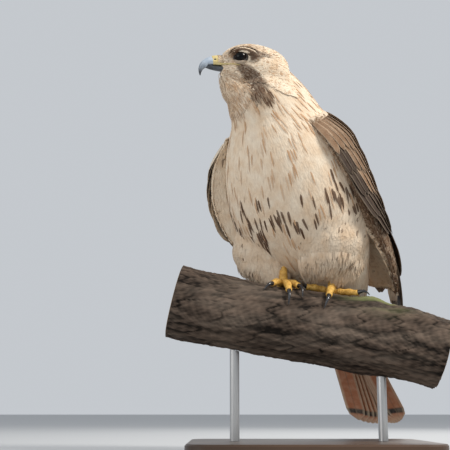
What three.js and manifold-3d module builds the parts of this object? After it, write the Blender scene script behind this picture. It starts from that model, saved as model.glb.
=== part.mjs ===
// A red-tailed hawk, life size, perched on a cut length of branch that two rods hold over a flat base.
// Millimetres, +Z up. The origin is the centre of the base's underside. The branch runs along X, and the
// bird faces -Y, turned towards -X. The bird is built in its own frame: X to its left, Y backwards, Z up,
// with its origin on top of the branch, between the feet.
import * as THREE from "three";
import { mergeVertices } from "three/addons/utils/BufferGeometryUtils.js";
import Module from "manifold-3d";

const wasm = await Module();
wasm.setup();

// Driving sizes
const GAP = 0.3;
const THIGH_GAP = 1.2;
const SHORT_EDGE = 0.004;
const BASE_SIZE = [300, 236, 18];
const BASE_CORNER = 26;
const BASE_BEVEL = 2;
const ROD_RADIUS = 6;
const ROD_PLACES = { right: -92, left: 92 };
const PERCH_TOP = 205;
const PERCH_RADIUS = 46;
const PERCH_LENGTH = 336;
const PERCH_SLOPE = 0.15;
const PERCH_BEND = 0.0003;
const BIRD_TURN = 40;
const BIRD_PLACE = [-19, 8];
const HEAD_PLACE = [2, -77, 284];
const HEAD_TURN = 38;
const HEAD_ROLL = 10;
const HEAD_PITCH = -1;
const EYE_RADIUS = 8.8;
const EYE_PLACE = [18.8, -21.5, 5.5];
const TAIL_LENGTH = 226;
const TAIL_ROOT = [88, 12];
const TAIL_TILT = 38;
const TAIL_FEATHER_WIDTH = 33;
const FEATHER_SHAFT = 1.3;
const FEATHER_EDGE = 0.65;
const FEATHER_WAVE = 0.006;

const radians = THREE.MathUtils.degToRad;
const lerp = THREE.MathUtils.lerp;
const clamp = THREE.MathUtils.clamp;
const vec = (x, y, z) => new THREE.Vector3(x, y, z);
const mix = (a, b, share) => a.clone().lerp(b, share);

// Rows of numbers, joined by a smooth curve and read at a place from 0 to 1.
function along(rows, place) {
  const last = rows.length - 1;
  const at = clamp(place, 0, 1) * last;
  const i = Math.min(Math.floor(at), last - 1);
  const f = at - i;
  const [a, b, c, d] = [i - 1, i, i + 1, i + 2].map((k) => rows[clamp(k, 0, last)]);
  return b.map((v, k) => {
    const cubic = 3 * (v - c[k]) + d[k] - a[k];
    const square = 2 * a[k] - 5 * v + 4 * c[k] - d[k];
    return v + 0.5 * f * (c[k] - a[k] + f * (square + f * cubic));
  });
}

// Solids
function solidOf(points, triangles) {
  const vertProperties = new Float32Array(points.flatMap((p) => [p.x, p.y, p.z]));
  const solid = new wasm.Manifold(
    new wasm.Mesh({ numProp: 3, vertProperties, triVerts: new Uint32Array(triangles.flat()) }),
  );
  if (solid.volume() > 0) return solid;
  const triVerts = new Uint32Array(triangles.flatMap(([a, b, c]) => [a, c, b]));
  return new wasm.Manifold(new wasm.Mesh({ numProp: 3, vertProperties, triVerts }));
}

function solidFrom(geometry) {
  geometry.deleteAttribute("normal");
  geometry.deleteAttribute("uv");
  const merged = mergeVertices(geometry, 1e-4);
  const at = merged.getAttribute("position");
  const points = Array.from({ length: at.count }, (_, i) => vec(at.getX(i), at.getY(i), at.getZ(i)));
  const index = merged.index.array;
  const triangles = [];
  for (let i = 0; i < index.length; i += 3) triangles.push([index[i], index[i + 1], index[i + 2]]);
  return solidOf(points, triangles);
}

const union = (solids) => solids.reduce((sum, solid) => sum.add(solid));
const clearOf = (solid, ...others) => largest(others.reduce((left, other) => left.subtract(other), solid));
const largest = (solid) => solid.decompose().reduce((a, b) => (b.volume() > a.volume() ? b : a));

// A closed skin over rings of points, with a fan over each end.
function loft(rings) {
  const count = rings[0].length;
  const points = rings.flat();
  const triangles = [];
  for (let r = 0; r + 1 < rings.length; r++) {
    for (let i = 0; i < count; i++) {
      const [a, b] = [r * count + i, r * count + ((i + 1) % count)];
      triangles.push([a, b, b + count], [a, b + count, a + count]);
    }
  }
  [rings[0], rings[rings.length - 1]].forEach((ring, end) => {
    const hub = points.length;
    points.push(ring.reduce((sum, p) => sum.add(p), vec(0, 0, 0)).divideScalar(count));
    const start = end ? (rings.length - 1) * count : 0;
    for (let i = 0; i < count; i++) {
      const [a, b] = [start + i, start + ((i + 1) % count)];
      triangles.push(end ? [a, b, hub] : [b, a, hub]);
    }
  });
  return solidOf(points, triangles);
}

function ellipsoid(centre, radii, slices = 16, stacks = 10) {
  const ball = new THREE.SphereGeometry(1, slices, stacks);
  ball.scale(...radii);
  ball.translate(...centre);
  return solidFrom(ball);
}

// A round tube along points, with one radius for each of them, or a pair: across and up.
function tube(points, radii, sides) {
  const whole = points[points.length - 1].clone().sub(points[0]).normalize();
  const level = Math.abs(whole.z) > 0.6 ? vec(0, 1, 0) : vec(0, 0, 1);
  const rings = points.map((p, k) => {
    const [before, after] = [points[Math.max(k - 1, 0)], points[Math.min(k + 1, points.length - 1)]];
    const ahead = after.clone().sub(before).normalize();
    const across = vec(0, 0, 0).crossVectors(ahead, level).normalize();
    const over = vec(0, 0, 0).crossVectors(across, ahead);
    const [wide, high] = [radii[k]].flat().concat([radii[k]].flat());
    return Array.from({ length: sides }, (_, i) => {
      const turn = (2 * Math.PI * i) / sides;
      const [right, up] = [wide * Math.cos(turn), high * Math.sin(turn)];
      return p.clone().addScaledVector(across, right).addScaledVector(over, up);
    });
  });
  return loft(rings);
}

// A thin vane with the same triangles on both faces.
// Each row is { at, across, out, half, thick, edge, sag, lean },
// and has a shaft in its middle unless the vane is flat.
function vane(rows, flat = false) {
  const sides = flat ? [-1, 1] : [-1, 0, 1];
  const points = [];
  rows.forEach(({ at, across, out, half, thick, edge, sag, lean }) => {
    sides.forEach((side) => {
      const top = at.clone().addScaledVector(across, side * half);
      top.addScaledVector(out, side * half * lean - Math.abs(side) * sag);
      points.push(top, top.clone().addScaledVector(out, side ? -edge : -thick));
    });
  });
  const count = 2 * sides.length;
  const [top, under] = [(r, c) => count * r + 2 * c, (r, c) => count * r + 2 * c + 1];
  const triangles = [];
  const face = (a, b, c, d) => triangles.push([a, b, c], [a, c, d]);
  const [last, edge] = [rows.length - 1, sides.length - 1];
  for (let r = 0; r < last; r++) {
    for (let c = 0; c < edge; c++) {
      face(top(r, c), top(r, c + 1), top(r + 1, c + 1), top(r + 1, c));
      triangles.push([under(r, c), under(r + 1, c + 1), under(r, c + 1)]);
      triangles.push([under(r, c), under(r + 1, c), under(r + 1, c + 1)]);
    }
    face(under(r, 0), top(r, 0), top(r + 1, 0), under(r + 1, 0));
    face(top(r, edge), under(r, edge), under(r + 1, edge), top(r + 1, edge));
  }
  for (let c = 0; c < edge; c++) {
    face(under(0, c), under(0, c + 1), top(0, c + 1), top(0, c));
    face(top(last, c), top(last, c + 1), under(last, c + 1), under(last, c));
  }
  return solidOf(points, triangles);
}

// Share of a vane's full half width at a place from root 0 to tip 1. A blunt tip rounds off late.
function vaneShape(place, blunt) {
  const grow = lerp(0.55, 1, Math.min(1, place / 0.35));
  const rest = clamp((place - blunt) / (1 - blunt), 0, 1);
  return grow * Math.max(0.16, Math.sqrt(1 - rest * rest * 0.975));
}

// The branch
const perchHeight = (x) => PERCH_TOP - PERCH_RADIUS - PERCH_SLOPE * x - PERCH_BEND * x * Math.abs(x);
const perchRise = (x) => -PERCH_SLOPE - 2 * PERCH_BEND * Math.abs(x);

// Radius of the branch: slow swellings, a scar ridge to the left of the feet and a broken collar beside it.
function perchRadius(x, turn) {
  const swell = 1.4 * Math.sin(x / 31 + 2 * turn) + 0.9 * Math.sin(x / 17 - 3 * turn + 1);
  const away = Math.min(1, Math.abs(x + 6) / 70);
  const knot = 7.5 * Math.exp(-(((x - 74) / 17) ** 2) - ((turn - 0.25) / 0.6) ** 2);
  const collar = 5 * Math.exp(-(((x - 118) / 34) ** 2) - ((turn - 0.5) / 0.5) ** 2);
  return PERCH_RADIUS + swell * away + knot + collar;
}

// A point at a height over the bark, at x along the branch and an angle forward of its top.
function onPerch(x, turn, lift) {
  const rise = perchRise(x);
  const up = vec(-rise, 0, 1).normalize();
  const reach = perchRadius(x, turn) + lift;
  const middle = vec(x, 0, perchHeight(x));
  const forward = vec(0, -1, 0);
  return middle.addScaledVector(up, reach * Math.cos(turn)).addScaledVector(forward, reach * Math.sin(turn));
}

function perchSolid(grow) {
  const [slices, sides] = [18, 20];
  const half = PERCH_LENGTH / 2;
  return loft(
    Array.from({ length: slices + 1 }, (_, k) => {
      const x = lerp(-half, half, k / slices);
      return Array.from({ length: sides }, (_, i) => {
        const turn = (2 * Math.PI * i) / sides;
        return onPerch(x, turn > Math.PI ? turn - 2 * Math.PI : turn, grow);
      });
    }),
  );
}

// The bird's frame in the row frame, and back.
const birdFrame = new THREE.Group();
birdFrame.position.set(...BIRD_PLACE, PERCH_TOP);
birdFrame.rotation.z = radians(-BIRD_TURN);
birdFrame.updateMatrixWorld(true);
const toBird = birdFrame.matrixWorld.clone().invert();
const perchInBird = perchSolid(GAP).transform(toBird.elements.slice());
const inBird = (x, turn, lift) => onPerch(x, turn, lift).applyMatrix4(toBird);

// Body: sections across a spine. Each row is back, up, half width, belly depth, back depth.
const BODY = [
  [-76, 279, 37, 45, 30],
  [-57, 260, 48, 56, 41],
  [-32, 232, 62, 64, 50],
  [-13, 194, 83, 75, 56],
  [4, 152, 95, 81, 58],
  [22, 113, 98, 81, 57],
  [41, 78, 92, 70, 53],
  [63, 44, 79, 50, 46],
  [86, 11, 64, 34, 36],
  [108, -19, 44, 18, 20],
];

// Centre, left and back directions of the section at a place along the rows.
function section(rows, place) {
  const [y, z, ...sizes] = along(rows, place);
  const step = 0.01;
  const [before, after] = [along(rows, place - step), along(rows, place + step)];
  const ahead = vec(0, after[0] - before[0], after[1] - before[1]).normalize();
  return { centre: vec(0, y, z), back: vec(0, -ahead.z, ahead.y), ahead, sizes };
}

// A point on a section: turn is 0 at the belly, 90 at the bird's left and 180 at the back.
function bodyPoint(place, turn, grow) {
  const { centre, back, sizes } = section(BODY, place);
  const [wide, belly, deep] = sizes;
  const [s, c] = [Math.sin(radians(turn)), -Math.cos(radians(turn))];
  const point = centre.clone().addScaledVector(vec(1, 0, 0), (wide + grow) * s);
  return point.addScaledVector(back, ((c > 0 ? deep : belly) + grow) * c);
}

function bodySolid(grow, slices = 16, sides = 24) {
  return loft(
    Array.from({ length: slices + 1 }, (_, k) =>
      Array.from({ length: sides }, (_, i) => bodyPoint(k / slices, (360 * i) / sides, grow)),
    ),
  );
}

// Head: rows from the bill to the nape in the head's own frame, X left and -Y forward.
// Each row is back, centre height, half width, height above, depth below.
const HEAD = [
  [-44, 1, 8, 9, 9],
  [-38, 1.5, 14, 15.5, 15],
  [-29, 2, 19.5, 21, 20.5],
  [-17, 2, 24.5, 25, 27],
  [-3, 1, 28, 27, 33],
  [12, -3, 31, 29, 38],
  [27, -9, 33, 30, 38],
  [39, -17, 31, 28, 31],
];
const headFrame = new THREE.Matrix4()
  .makeRotationZ(radians(-HEAD_TURN))
  .multiply(new THREE.Matrix4().makeRotationX(radians(HEAD_PITCH)))
  .multiply(new THREE.Matrix4().makeRotationY(radians(HEAD_ROLL)))
  .setPosition(...HEAD_PLACE);
const onHead = (solid) => solid.transform(headFrame.elements.slice());

function headSolid(grow, slices = 10, sides = 18) {
  return loft(
    Array.from({ length: slices + 1 }, (_, k) => {
      const [y, z, wide, above, below] = along(HEAD, k / slices);
      return Array.from({ length: sides }, (_, i) => {
        const turn = (2 * Math.PI * i) / sides;
        const [s, c] = [Math.sin(turn), Math.cos(turn)];
        return vec((wide + grow) * s, y, z + ((c > 0 ? above : below) + grow) * c);
      });
    }),
  );
}

const mirrored = (place) => [-place[0], place[1], place[2]];
const eyePlaces = { left: EYE_PLACE, right: mirrored(EYE_PLACE) };
const eyeAt = (side, radius) => ellipsoid(eyePlaces[side], [radius, radius, radius], 12, 8);

// The ridge of the brow runs back over each eye. The lids are a thin rim that the eye looks out of.
function brow(side) {
  const s = side === "left" ? 1 : -1;
  const points = [
    vec(s * 12.5, -37, 9.5),
    vec(s * 20, -29, 13),
    vec(s * 24.5, -20, 14.2),
    vec(s * 26.5, -9, 12.2),
    vec(s * 26, 1, 8.5),
  ];
  return tube(points, [2.5, 4.6, 5, 4.4, 2], 8);
}

function lids(side) {
  const [x, y, z] = eyePlaces[side];
  const s = Math.sign(x);
  const rim = eyeAt(side, EYE_RADIUS + 1.4);
  return { rim, opening: ellipsoid([x + s * EYE_RADIUS, y - 1, z - 0.6], [7, 7.4, 5.8], 12, 8) };
}

// Bill: rows of forward, height, half width, half height. The hook turns down past the lower half.
const BILL = [
  [-41, 1, 8, 8.6],
  [-49, 1.2, 7.6, 8],
  [-56, 0.4, 6.4, 7.2],
  [-62, -1.6, 5, 5.8],
  [-66.5, -5, 3.5, 4.4],
  [-69, -9.6, 2.2, 3],
  [-69.6, -14.4, 1.1, 1.6],
  [-69.2, -18, 0.35, 0.5],
];
const CERE_END = -51;
const MOUTH_HEIGHT = -3;

function billSection(row, next, grow, sides) {
  const [y, z, wide, high] = row;
  const ahead = vec(0, next[0] - y, next[1] - z).normalize();
  const over = vec(0, -ahead.z, ahead.y).multiplyScalar(ahead.y < 0 ? -1 : 1);
  return Array.from({ length: sides }, (_, i) => {
    const turn = (2 * Math.PI * i) / sides;
    const [s, c] = [Math.sin(turn), Math.cos(turn)];
    const narrow = c > 0 ? 1 - 0.42 * c * c : 1;
    return vec((wide + grow) * s * narrow, y, z).addScaledVector(over, (high + grow) * c);
  });
}

function billSolid(grow, sides = 12) {
  const rings = BILL.map((row, k) => {
    const next = BILL[k + 1] ?? [2 * row[0] - BILL[k - 1][0], 2 * row[1] - BILL[k - 1][1]];
    return billSection(row, next, grow, sides);
  });
  return loft(rings);
}

// A slab across the whole head, between two heights and two places along it.
function slab(low, high) {
  const size = [0, 1, 2].map((k) => high[k] - low[k]);
  const block = new THREE.BoxGeometry(...size);
  block.translate(...[0, 1, 2].map((k) => (low[k] + high[k]) / 2));
  return solidFrom(block);
}

function lowerBill(grow) {
  const rows = [
    [-38, -7, 6.6, 3.9],
    [-48, -6.8, 5.6, 3.5],
    [-57, -6.4, 4, 2.8],
    [-62.5, -6, 2, 1.6],
  ];
  return loft(
    rows.map(([y, z, wide, high]) =>
      Array.from({ length: 10 }, (_, i) => {
        const turn = (2 * Math.PI * i) / 10;
        return vec((wide + grow) * Math.sin(turn), y, z + (high + grow) * Math.cos(turn));
      }),
    ),
  );
}

// The yellow flange of the mouth, from the cere back under the eye.
function gape(side, grow) {
  const s = side === "left" ? 1 : -1;
  const points = [
    vec(s * 6, -46, -2.8),
    vec(s * 10.6, -40, -2.8),
    vec(s * 15.6, -34, -3.1),
    vec(s * 20, -28.5, -3.8),
    vec(s * 23, -22.5, -5),
  ];
  return tube(points, [2.4, 2.6, 2.2, 1.9, 0.9].map((r) => r + grow), 6);
}

// Wings: a guide surface over the body's sides. Each row is back, up, half width, back depth and the power
// that squares its section.
const WING = [
  [-28, 218, 76, 52, 2],
  [-13, 191, 100, 60, 2.05],
  [4, 152, 112, 62, 2.15],
  [22, 113, 116, 64, 2.3],
  [42, 79, 115, 65, 2.4],
  [65, 45, 111, 65, 2.45],
  [89, 12, 103, 59, 2.45],
  [113, -19, 90, 51, 2.4],
  [137, -49, 74, 42, 2.4],
  [161, -79, 59, 33, 2.3],
  [184, -108, 46, 26, 2.2],
];
// The two wings aren't held alike: each row's half width is multiplied by these.
const WING_WIDTH = {
  left: [[0.98], [0.95], [0.94], [0.94], [0.96], [0.99], [1.02], [1.05], [1.06], [1.03], [1]],
  right: [[1.1], [1.16], [1.2], [1.16], [1.11], [1.08], [1.06], [1.04], [1.02], [1], [1]],
};

// A point of the guide, and its outward direction. side is 1 at the bird's left and -1 at its right.
function wingPlace(side, place, turn, lift) {
  const { centre, back, sizes } = section(WING, place);
  const [wide, deep, square] = sizes;
  const [s, c] = [Math.sin(radians(turn)), -Math.cos(radians(turn))];
  const power = 2 / square;
  const spread = along(side > 0 ? WING_WIDTH.left : WING_WIDTH.right, place)[0];
  const [x, d] = [spread * wide * s ** power, deep * Math.sign(c) * Math.abs(c) ** power];
  const out = vec(side * s * deep, 0, 0).addScaledVector(back, c * wide).normalize();
  const at = centre.clone().addScaledVector(vec(side, 0, 0), x).addScaledVector(back, d);
  return { at: at.addScaledVector(out, lift), out };
}

// The wing's leading edge and its edge by the back, in degrees, along the guide.
const wingFront = (place) => along([[62], [64], [78], [90], [95], [99], [103], [108]], place)[0];
const wingBack = (place) => along([[166], [171], [172], [171], [166], [156], [146]], place)[0];
const wingThick = (place) => along([[5], [22], [26], [24], [16], [9], [5]], place / 0.7)[0];

function wingCore(side) {
  const [slices, steps, end] = [10, 7, 0.66];
  return loft(
    Array.from({ length: slices + 1 }, (_, k) => {
      const place = (end * k) / slices;
      const [front, rear, thick] = [wingFront(place), wingBack(place), wingThick(place)];
      const outer = [];
      const inner = [];
      for (let i = 0; i <= steps; i++) {
        const turn = lerp(front, rear, i / steps);
        const round = 2.6 * (i === 0 || i === steps ? 1 : 0);
        outer.push(wingPlace(side, place, turn, -2.2 - round).at);
        inner.unshift(wingPlace(side, place, turn, -2.2 - thick + round).at);
      }
      return [...outer, ...inner];
    }),
  );
}

// One feather of the wing, from a root to a tip on the guide. lift is its height there, as a pair.
function wingFeather(side, { root, tip, width, lift, lean, blunt, steps, flat }) {
  const spot = (s) => {
    const height = lerp(lift[0], lift[1], Math.min(1, 1.6 * s));
    return wingPlace(side, lerp(root[0], tip[0], s), lerp(root[1], tip[1], s), height);
  };
  const rows = Array.from({ length: steps + 1 }, (_, k) => {
    const s = k / steps;
    const { at, out } = spot(s);
    const ahead = spot(Math.min(1, s + 0.04)).at.sub(spot(Math.max(0, s - 0.04)).at).normalize();
    const across = vec(0, 0, 0).crossVectors(out, ahead).normalize();
    const half = 0.5 * width * vaneShape(s, blunt);
    const sag = (half * half) / (2 * lerp(90, 220, s));
    return { at, across, out, half, thick: FEATHER_SHAFT, edge: FEATHER_EDGE, sag, lean: -side * lean };
  });
  return vane(rows, flat);
}

// A row of like feathers. Its first and last give root, tip, width and lift, and the rest come between.
function featherRow(side, { count, first, last, lean = 0.12, blunt = 0.6, steps = 3, flat = true }) {
  return Array.from({ length: count }, (_, k) => {
    const s = k / (count - 1);
    const between = (key) => first[key].map((v, i) => lerp(v, last[key][i], s));
    const tip = between("tip");
    tip[0] += FEATHER_WAVE * Math.sin(2.4 * k + 0.7);
    const width = lerp(first.width, last.width, s);
    const [root, lift] = [between("root"), between("lift")];
    return wingFeather(side, { root, tip, width, lift, lean, blunt, steps, flat });
  });
}

// The tiers of the wing, from the tip up to the shoulder.
// Roots and tips are a place along the guide and degrees round it.
const WING_ROWS = {
  primaries: {
    count: 6, flat: false, steps: 5, blunt: 0.74, lean: 0.03,
    first: { root: [0.42, 102], tip: [0.86, 112], width: 18, lift: [-7, -4.6] },
    last: { root: [0.46, 130], tip: [0.985, 138], width: 20, lift: [-6, 3.4] },
  },
  secondaries: {
    count: 6, flat: false, steps: 3, blunt: 0.7, lean: 0.1,
    first: { root: [0.34, 112], tip: [0.63, 128], width: 24, lift: [-6, 1] },
    last: { root: [0.36, 158], tip: [0.71, 160], width: 26, lift: [-6, 5.5] },
  },
  tertials: {
    count: 3, steps: 3,
    first: { root: [0.32, 150], tip: [0.59, 152], width: 27, lift: [-4, 7.5] },
    last: { root: [0.3, 164], tip: [0.52, 166], width: 28, lift: [-4, 9.6] },
  },
  greater: {
    count: 6,
    first: { root: [0.26, 84], tip: [0.44, 98], width: 21, lift: [-5, 0.8] },
    last: { root: [0.26, 144], tip: [0.48, 148], width: 24, lift: [-5, 4.6] },
  },
  median: {
    count: 6,
    first: { root: [0.17, 72], tip: [0.34, 86], width: 21, lift: [-5, 1.6] },
    last: { root: [0.18, 140], tip: [0.36, 144], width: 23, lift: [-5, 5] },
  },
  lesser: {
    count: 5,
    first: { root: [0.08, 68], tip: [0.24, 76], width: 21, lift: [-5, 2] },
    last: { root: [0.08, 136], tip: [0.25, 138], width: 23, lift: [-5, 4.6] },
  },
  scapulars: {
    count: 4,
    first: { root: [0.05, 140], tip: [0.29, 148], width: 28, lift: [-4, 7.6] },
    last: { root: [0.18, 158], tip: [0.43, 166], width: 31, lift: [-4, 9.8] },
  },
};

function wingSolid(name) {
  const side = name === "left" ? 1 : -1;
  const feathers = Object.values(WING_ROWS).flatMap((row) => featherRow(side, row));
  return union([wingCore(side), ...feathers]);
}

// Tail: twelve feathers from a core under the coverts, the middle pair on top.
const tailAhead = vec(0, Math.sin(radians(TAIL_TILT)), -Math.cos(radians(TAIL_TILT)));
const tailBack = vec(0, Math.cos(radians(TAIL_TILT)), Math.sin(radians(TAIL_TILT)));
const tailRoot = vec(0, ...TAIL_ROOT);

function tailPoint(side, out, down) {
  const middle = tailRoot.clone().addScaledVector(tailAhead, down).addScaledVector(tailBack, out);
  return middle.add(vec(side, 0, 0));
}

function tailFeather(feather) {
  const { start, end, from, to, out, width, blunt, steps } = feather;
  const { lean = 0, thick = FEATHER_SHAFT, flat = false } = feather;
  const across = vec(1, 0, 0);
  const rows = Array.from({ length: steps + 1 }, (_, k) => {
    const s = k / steps;
    const bend = 5 * Math.sin(0.5 * Math.PI * s);
    const half = 0.5 * width * vaneShape(s, blunt);
    const at = tailPoint(lerp(start, end, s), lerp(out[0], out[1], s) - bend, lerp(from, to, s));
    return { at, across, out: tailBack, half, thick, edge: FEATHER_EDGE, sag: half * 0.06, lean };
  });
  return vane(rows, flat);
}

function tailSolid() {
  const core = tube(
    [0, 18, 40, 58].map((down) => tailPoint(0, -2 - down * 0.02, down)),
    [[32, 17], [31, 14], [27, 10], [21, 4.5]],
    12,
  );
  const rectrices = [0, 1, 2, 3, 4, 5].flatMap((k) =>
    [1, -1].map((side) =>
      tailFeather({
        start: side * (3 + 1.6 * k),
        end: side * (6 + 5.6 * k),
        from: 24,
        to: TAIL_LENGTH - 0.5 * k * k,
        out: [3.2 - 1.3 * k + side * 0.3, 5 - 1.9 * k + side * 0.5],
        width: TAIL_FEATHER_WIDTH - 0.6 * k,
        blunt: 0.86,
        steps: 4,
        thick: 0.9,
      }),
    ),
  );
  const coverts = [-2, -1, 0, 1, 2].flatMap((k) => [
    tailFeather({
      start: k * 9, end: k * 13, from: 14, to: 84 - 6 * Math.abs(k), out: [9, 12.4 - Math.abs(k)],
      width: 22, steps: 3, blunt: 0.6, lean: 0.06 * k, flat: true,
    }),
    tailFeather({
      start: k * 9, end: k * 12, from: 10, to: 96 - 9 * Math.abs(k), out: [-13, -11 + 1.2 * Math.abs(k)],
      width: 23, steps: 3, blunt: 0.6, lean: -0.06 * k, flat: true,
    }),
  ]);
  return union([core, ...rectrices, ...coverts]);
}

// Legs: a feathered thigh down to the shank, with places on the branch for the feet.
const FEET = {
  left: {
    x: 25, turn: -0.27, shank: 24,
    toes: { inner: [-72, 35, -10], middle: [-8, 46, -16], outer: [58, 37, 70], hind: [190, 30, 190] },
  },
  right: {
    x: -37, turn: -0.2, shank: 10,
    toes: { inner: [34, 33, 12], middle: [8, 45, 4], outer: [-26, 37, -40], hind: [172, 30, 172] },
  },
};
const CLAW_LENGTHS = { inner: 25, middle: 23, outer: 18, hind: 27 };
const TOE_RADIUS = { inner: 5, middle: 4.8, outer: 4.5, hind: 5 };

function shankLine(side) {
  const { x, turn } = FEET[side];
  const s = side === "left" ? 1 : -1;
  const foot = inBird(x, turn, 6);
  const hock = foot.clone().add(vec(s * 6, 8, 52));
  return [foot, mix(foot, hock, 0.33), mix(foot, hock, 0.66), hock];
}

const THIGHS = {
  left: [
    [44, 32, 116, 31],
    [49, 24, 90, 40],
    [49, 22, 62, 42],
    [44, 24, 42, 36],
    [37, 27, 31, 27],
    [32, 29, 25, 16],
  ],
  right: [
    [-44, 28, 114, 31],
    [-50, 16, 88, 41],
    [-51, 9, 60, 43],
    [-48, 6, 41, 38],
    [-39, 3, 28, 29],
    [-28, -2, 18, 18],
  ],
};

function thighSolid(side, grow) {
  const rows = THIGHS[side];
  const radii = rows.map(([, , , radius]) => radius + 1.5 * grow);
  const points = rows.map(([x, y, z]) => vec(x, y, z));
  const [top, last] = [points[0], points.length - 1];
  top.addScaledVector(top.clone().sub(points[1]).normalize(), 2 * grow);
  points[last].addScaledVector(points[last].clone().sub(points[last - 1]).normalize(), 2 * grow);
  return tube(points, radii, 18);
}

// A point over the bark, by its distance along and round the branch from a foot's middle.
function barkPoint(side, sideways, forward, lift) {
  const { x, turn } = FEET[side];
  return inBird(x + sideways, turn + forward / PERCH_RADIUS, lift);
}

function toePoint(side, toe, distance, lift) {
  const way = radians(FEET[side].toes[toe][0]);
  return barkPoint(side, distance * Math.sin(way), distance * Math.cos(way), lift);
}

function toeSolid(side, toe, grow = 0) {
  const length = FEET[side].toes[toe][1];
  const radius = TOE_RADIUS[toe];
  const steps = 5;
  const places = Array.from({ length: steps + 1 }, (_, k) => k / steps);
  const arch = (s) => 1.6 * Math.sin(Math.PI * s);
  const points = places.map((s) => toePoint(side, toe, (length + grow) * s, radius - 0.3 + arch(s)));
  const radii = places.map((s) => radius * (1.05 - 0.2 * s) + grow);
  return tube(points, radii, 7);
}

function clawSolid(side, toe) {
  const [way, reach, clawWay] = FEET[side].toes[toe];
  const steps = 5;
  const step = CLAW_LENGTHS[toe] / steps;
  const start = reach - 1;
  let [sideways, forward] = [start * Math.sin(radians(way)), start * Math.cos(radians(way))];
  let height = TOE_RADIUS[toe] + 0.4;
  const points = [];
  for (let k = 0; k <= steps; k++) {
    points.push(barkPoint(side, sideways, forward, height));
    const dip = radians(lerp(24, -66, k / (steps - 1)));
    const heading = radians(lerp(way, clawWay, Math.min(1, (k + 1) / 3)));
    sideways += step * Math.cos(dip) * Math.sin(heading);
    forward += step * Math.cos(dip) * Math.cos(heading);
    height = Math.max(0.9, height + step * Math.sin(dip));
  }
  return tube(points, points.map((_, k) => lerp(3.1, 0.5, (k / steps) ** 0.85)), 6);
}

const TOES = ["inner", "middle", "outer", "hind"];

function footSolid(side) {
  const { x, turn } = FEET[side];
  const pad = tube(
    [-6.3, 0, 6.1].map((d) => inBird(x + d, turn + 0.01, 5.1)),
    [3.5, 6.4, 3.5],
    10,
  );
  return union([pad, ...TOES.map((toe) => toeSolid(side, toe))]);
}

// The end of each toe is cut back so that the claw meets it face to face.
function clawCut(side, toe) {
  const length = FEET[side].toes[toe][1];
  const [a, b] = [toePoint(side, toe, length - 1, 5), toePoint(side, toe, length + 1, 5)];
  const normal = b.sub(a).normalize();
  return { normal: normal.toArray(), offset: normal.dot(toePoint(side, toe, length - 0.6, 5)) };
}

// Everything put together
const SKIN = { colour: "#e6d6bf", roughness: 0.9, metalness: 0 };
const LOOKS = {
  pale_feathers: SKIN,
  wing_feathers: { colour: "#6e4c33", roughness: 0.8, metalness: 0 },
  tail_feathers: { colour: "#a4583a", roughness: 0.8, metalness: 0 },
  horn: { colour: "#24242a", roughness: 0.35, metalness: 0 },
  cere: { colour: "#d8b04a", roughness: 0.55, metalness: 0 },
  foot_skin: { colour: "#e2a13a", roughness: 0.6, metalness: 0 },
  eye: { colour: "#1a120c", roughness: 0.08, metalness: 0 },
  bark: { colour: "#6f6254", roughness: 0.95, metalness: 0 },
  stand_base: { colour: "#3a2c22", roughness: 0.5, metalness: 0 },
  stand_rod: { colour: "#9a9a98", roughness: 0.35, metalness: 0.9 },
};

function meshOf(name, solid, look) {
  const { vertProperties, triVerts } = solid.simplify(SHORT_EDGE).getMesh();
  const geometry = new THREE.BufferGeometry()
    .setAttribute("position", new THREE.BufferAttribute(vertProperties, 3))
    .setIndex(new THREE.BufferAttribute(triVerts, 1));
  geometry.computeVertexNormals();
  const { colour, roughness, metalness } = LOOKS[look];
  const material = new THREE.MeshStandardMaterial({ color: colour, roughness, metalness });
  const mesh = new THREE.Mesh(geometry, material);
  mesh.name = name;
  return mesh;
}

// Keeps the part of a solid on the far side of a plane through a point, half the gap away from it.
const beyond = (solid, normal, point) =>
  solid.trimByPlane(normal.toArray(), normal.dot(point) + GAP / 2);

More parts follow.
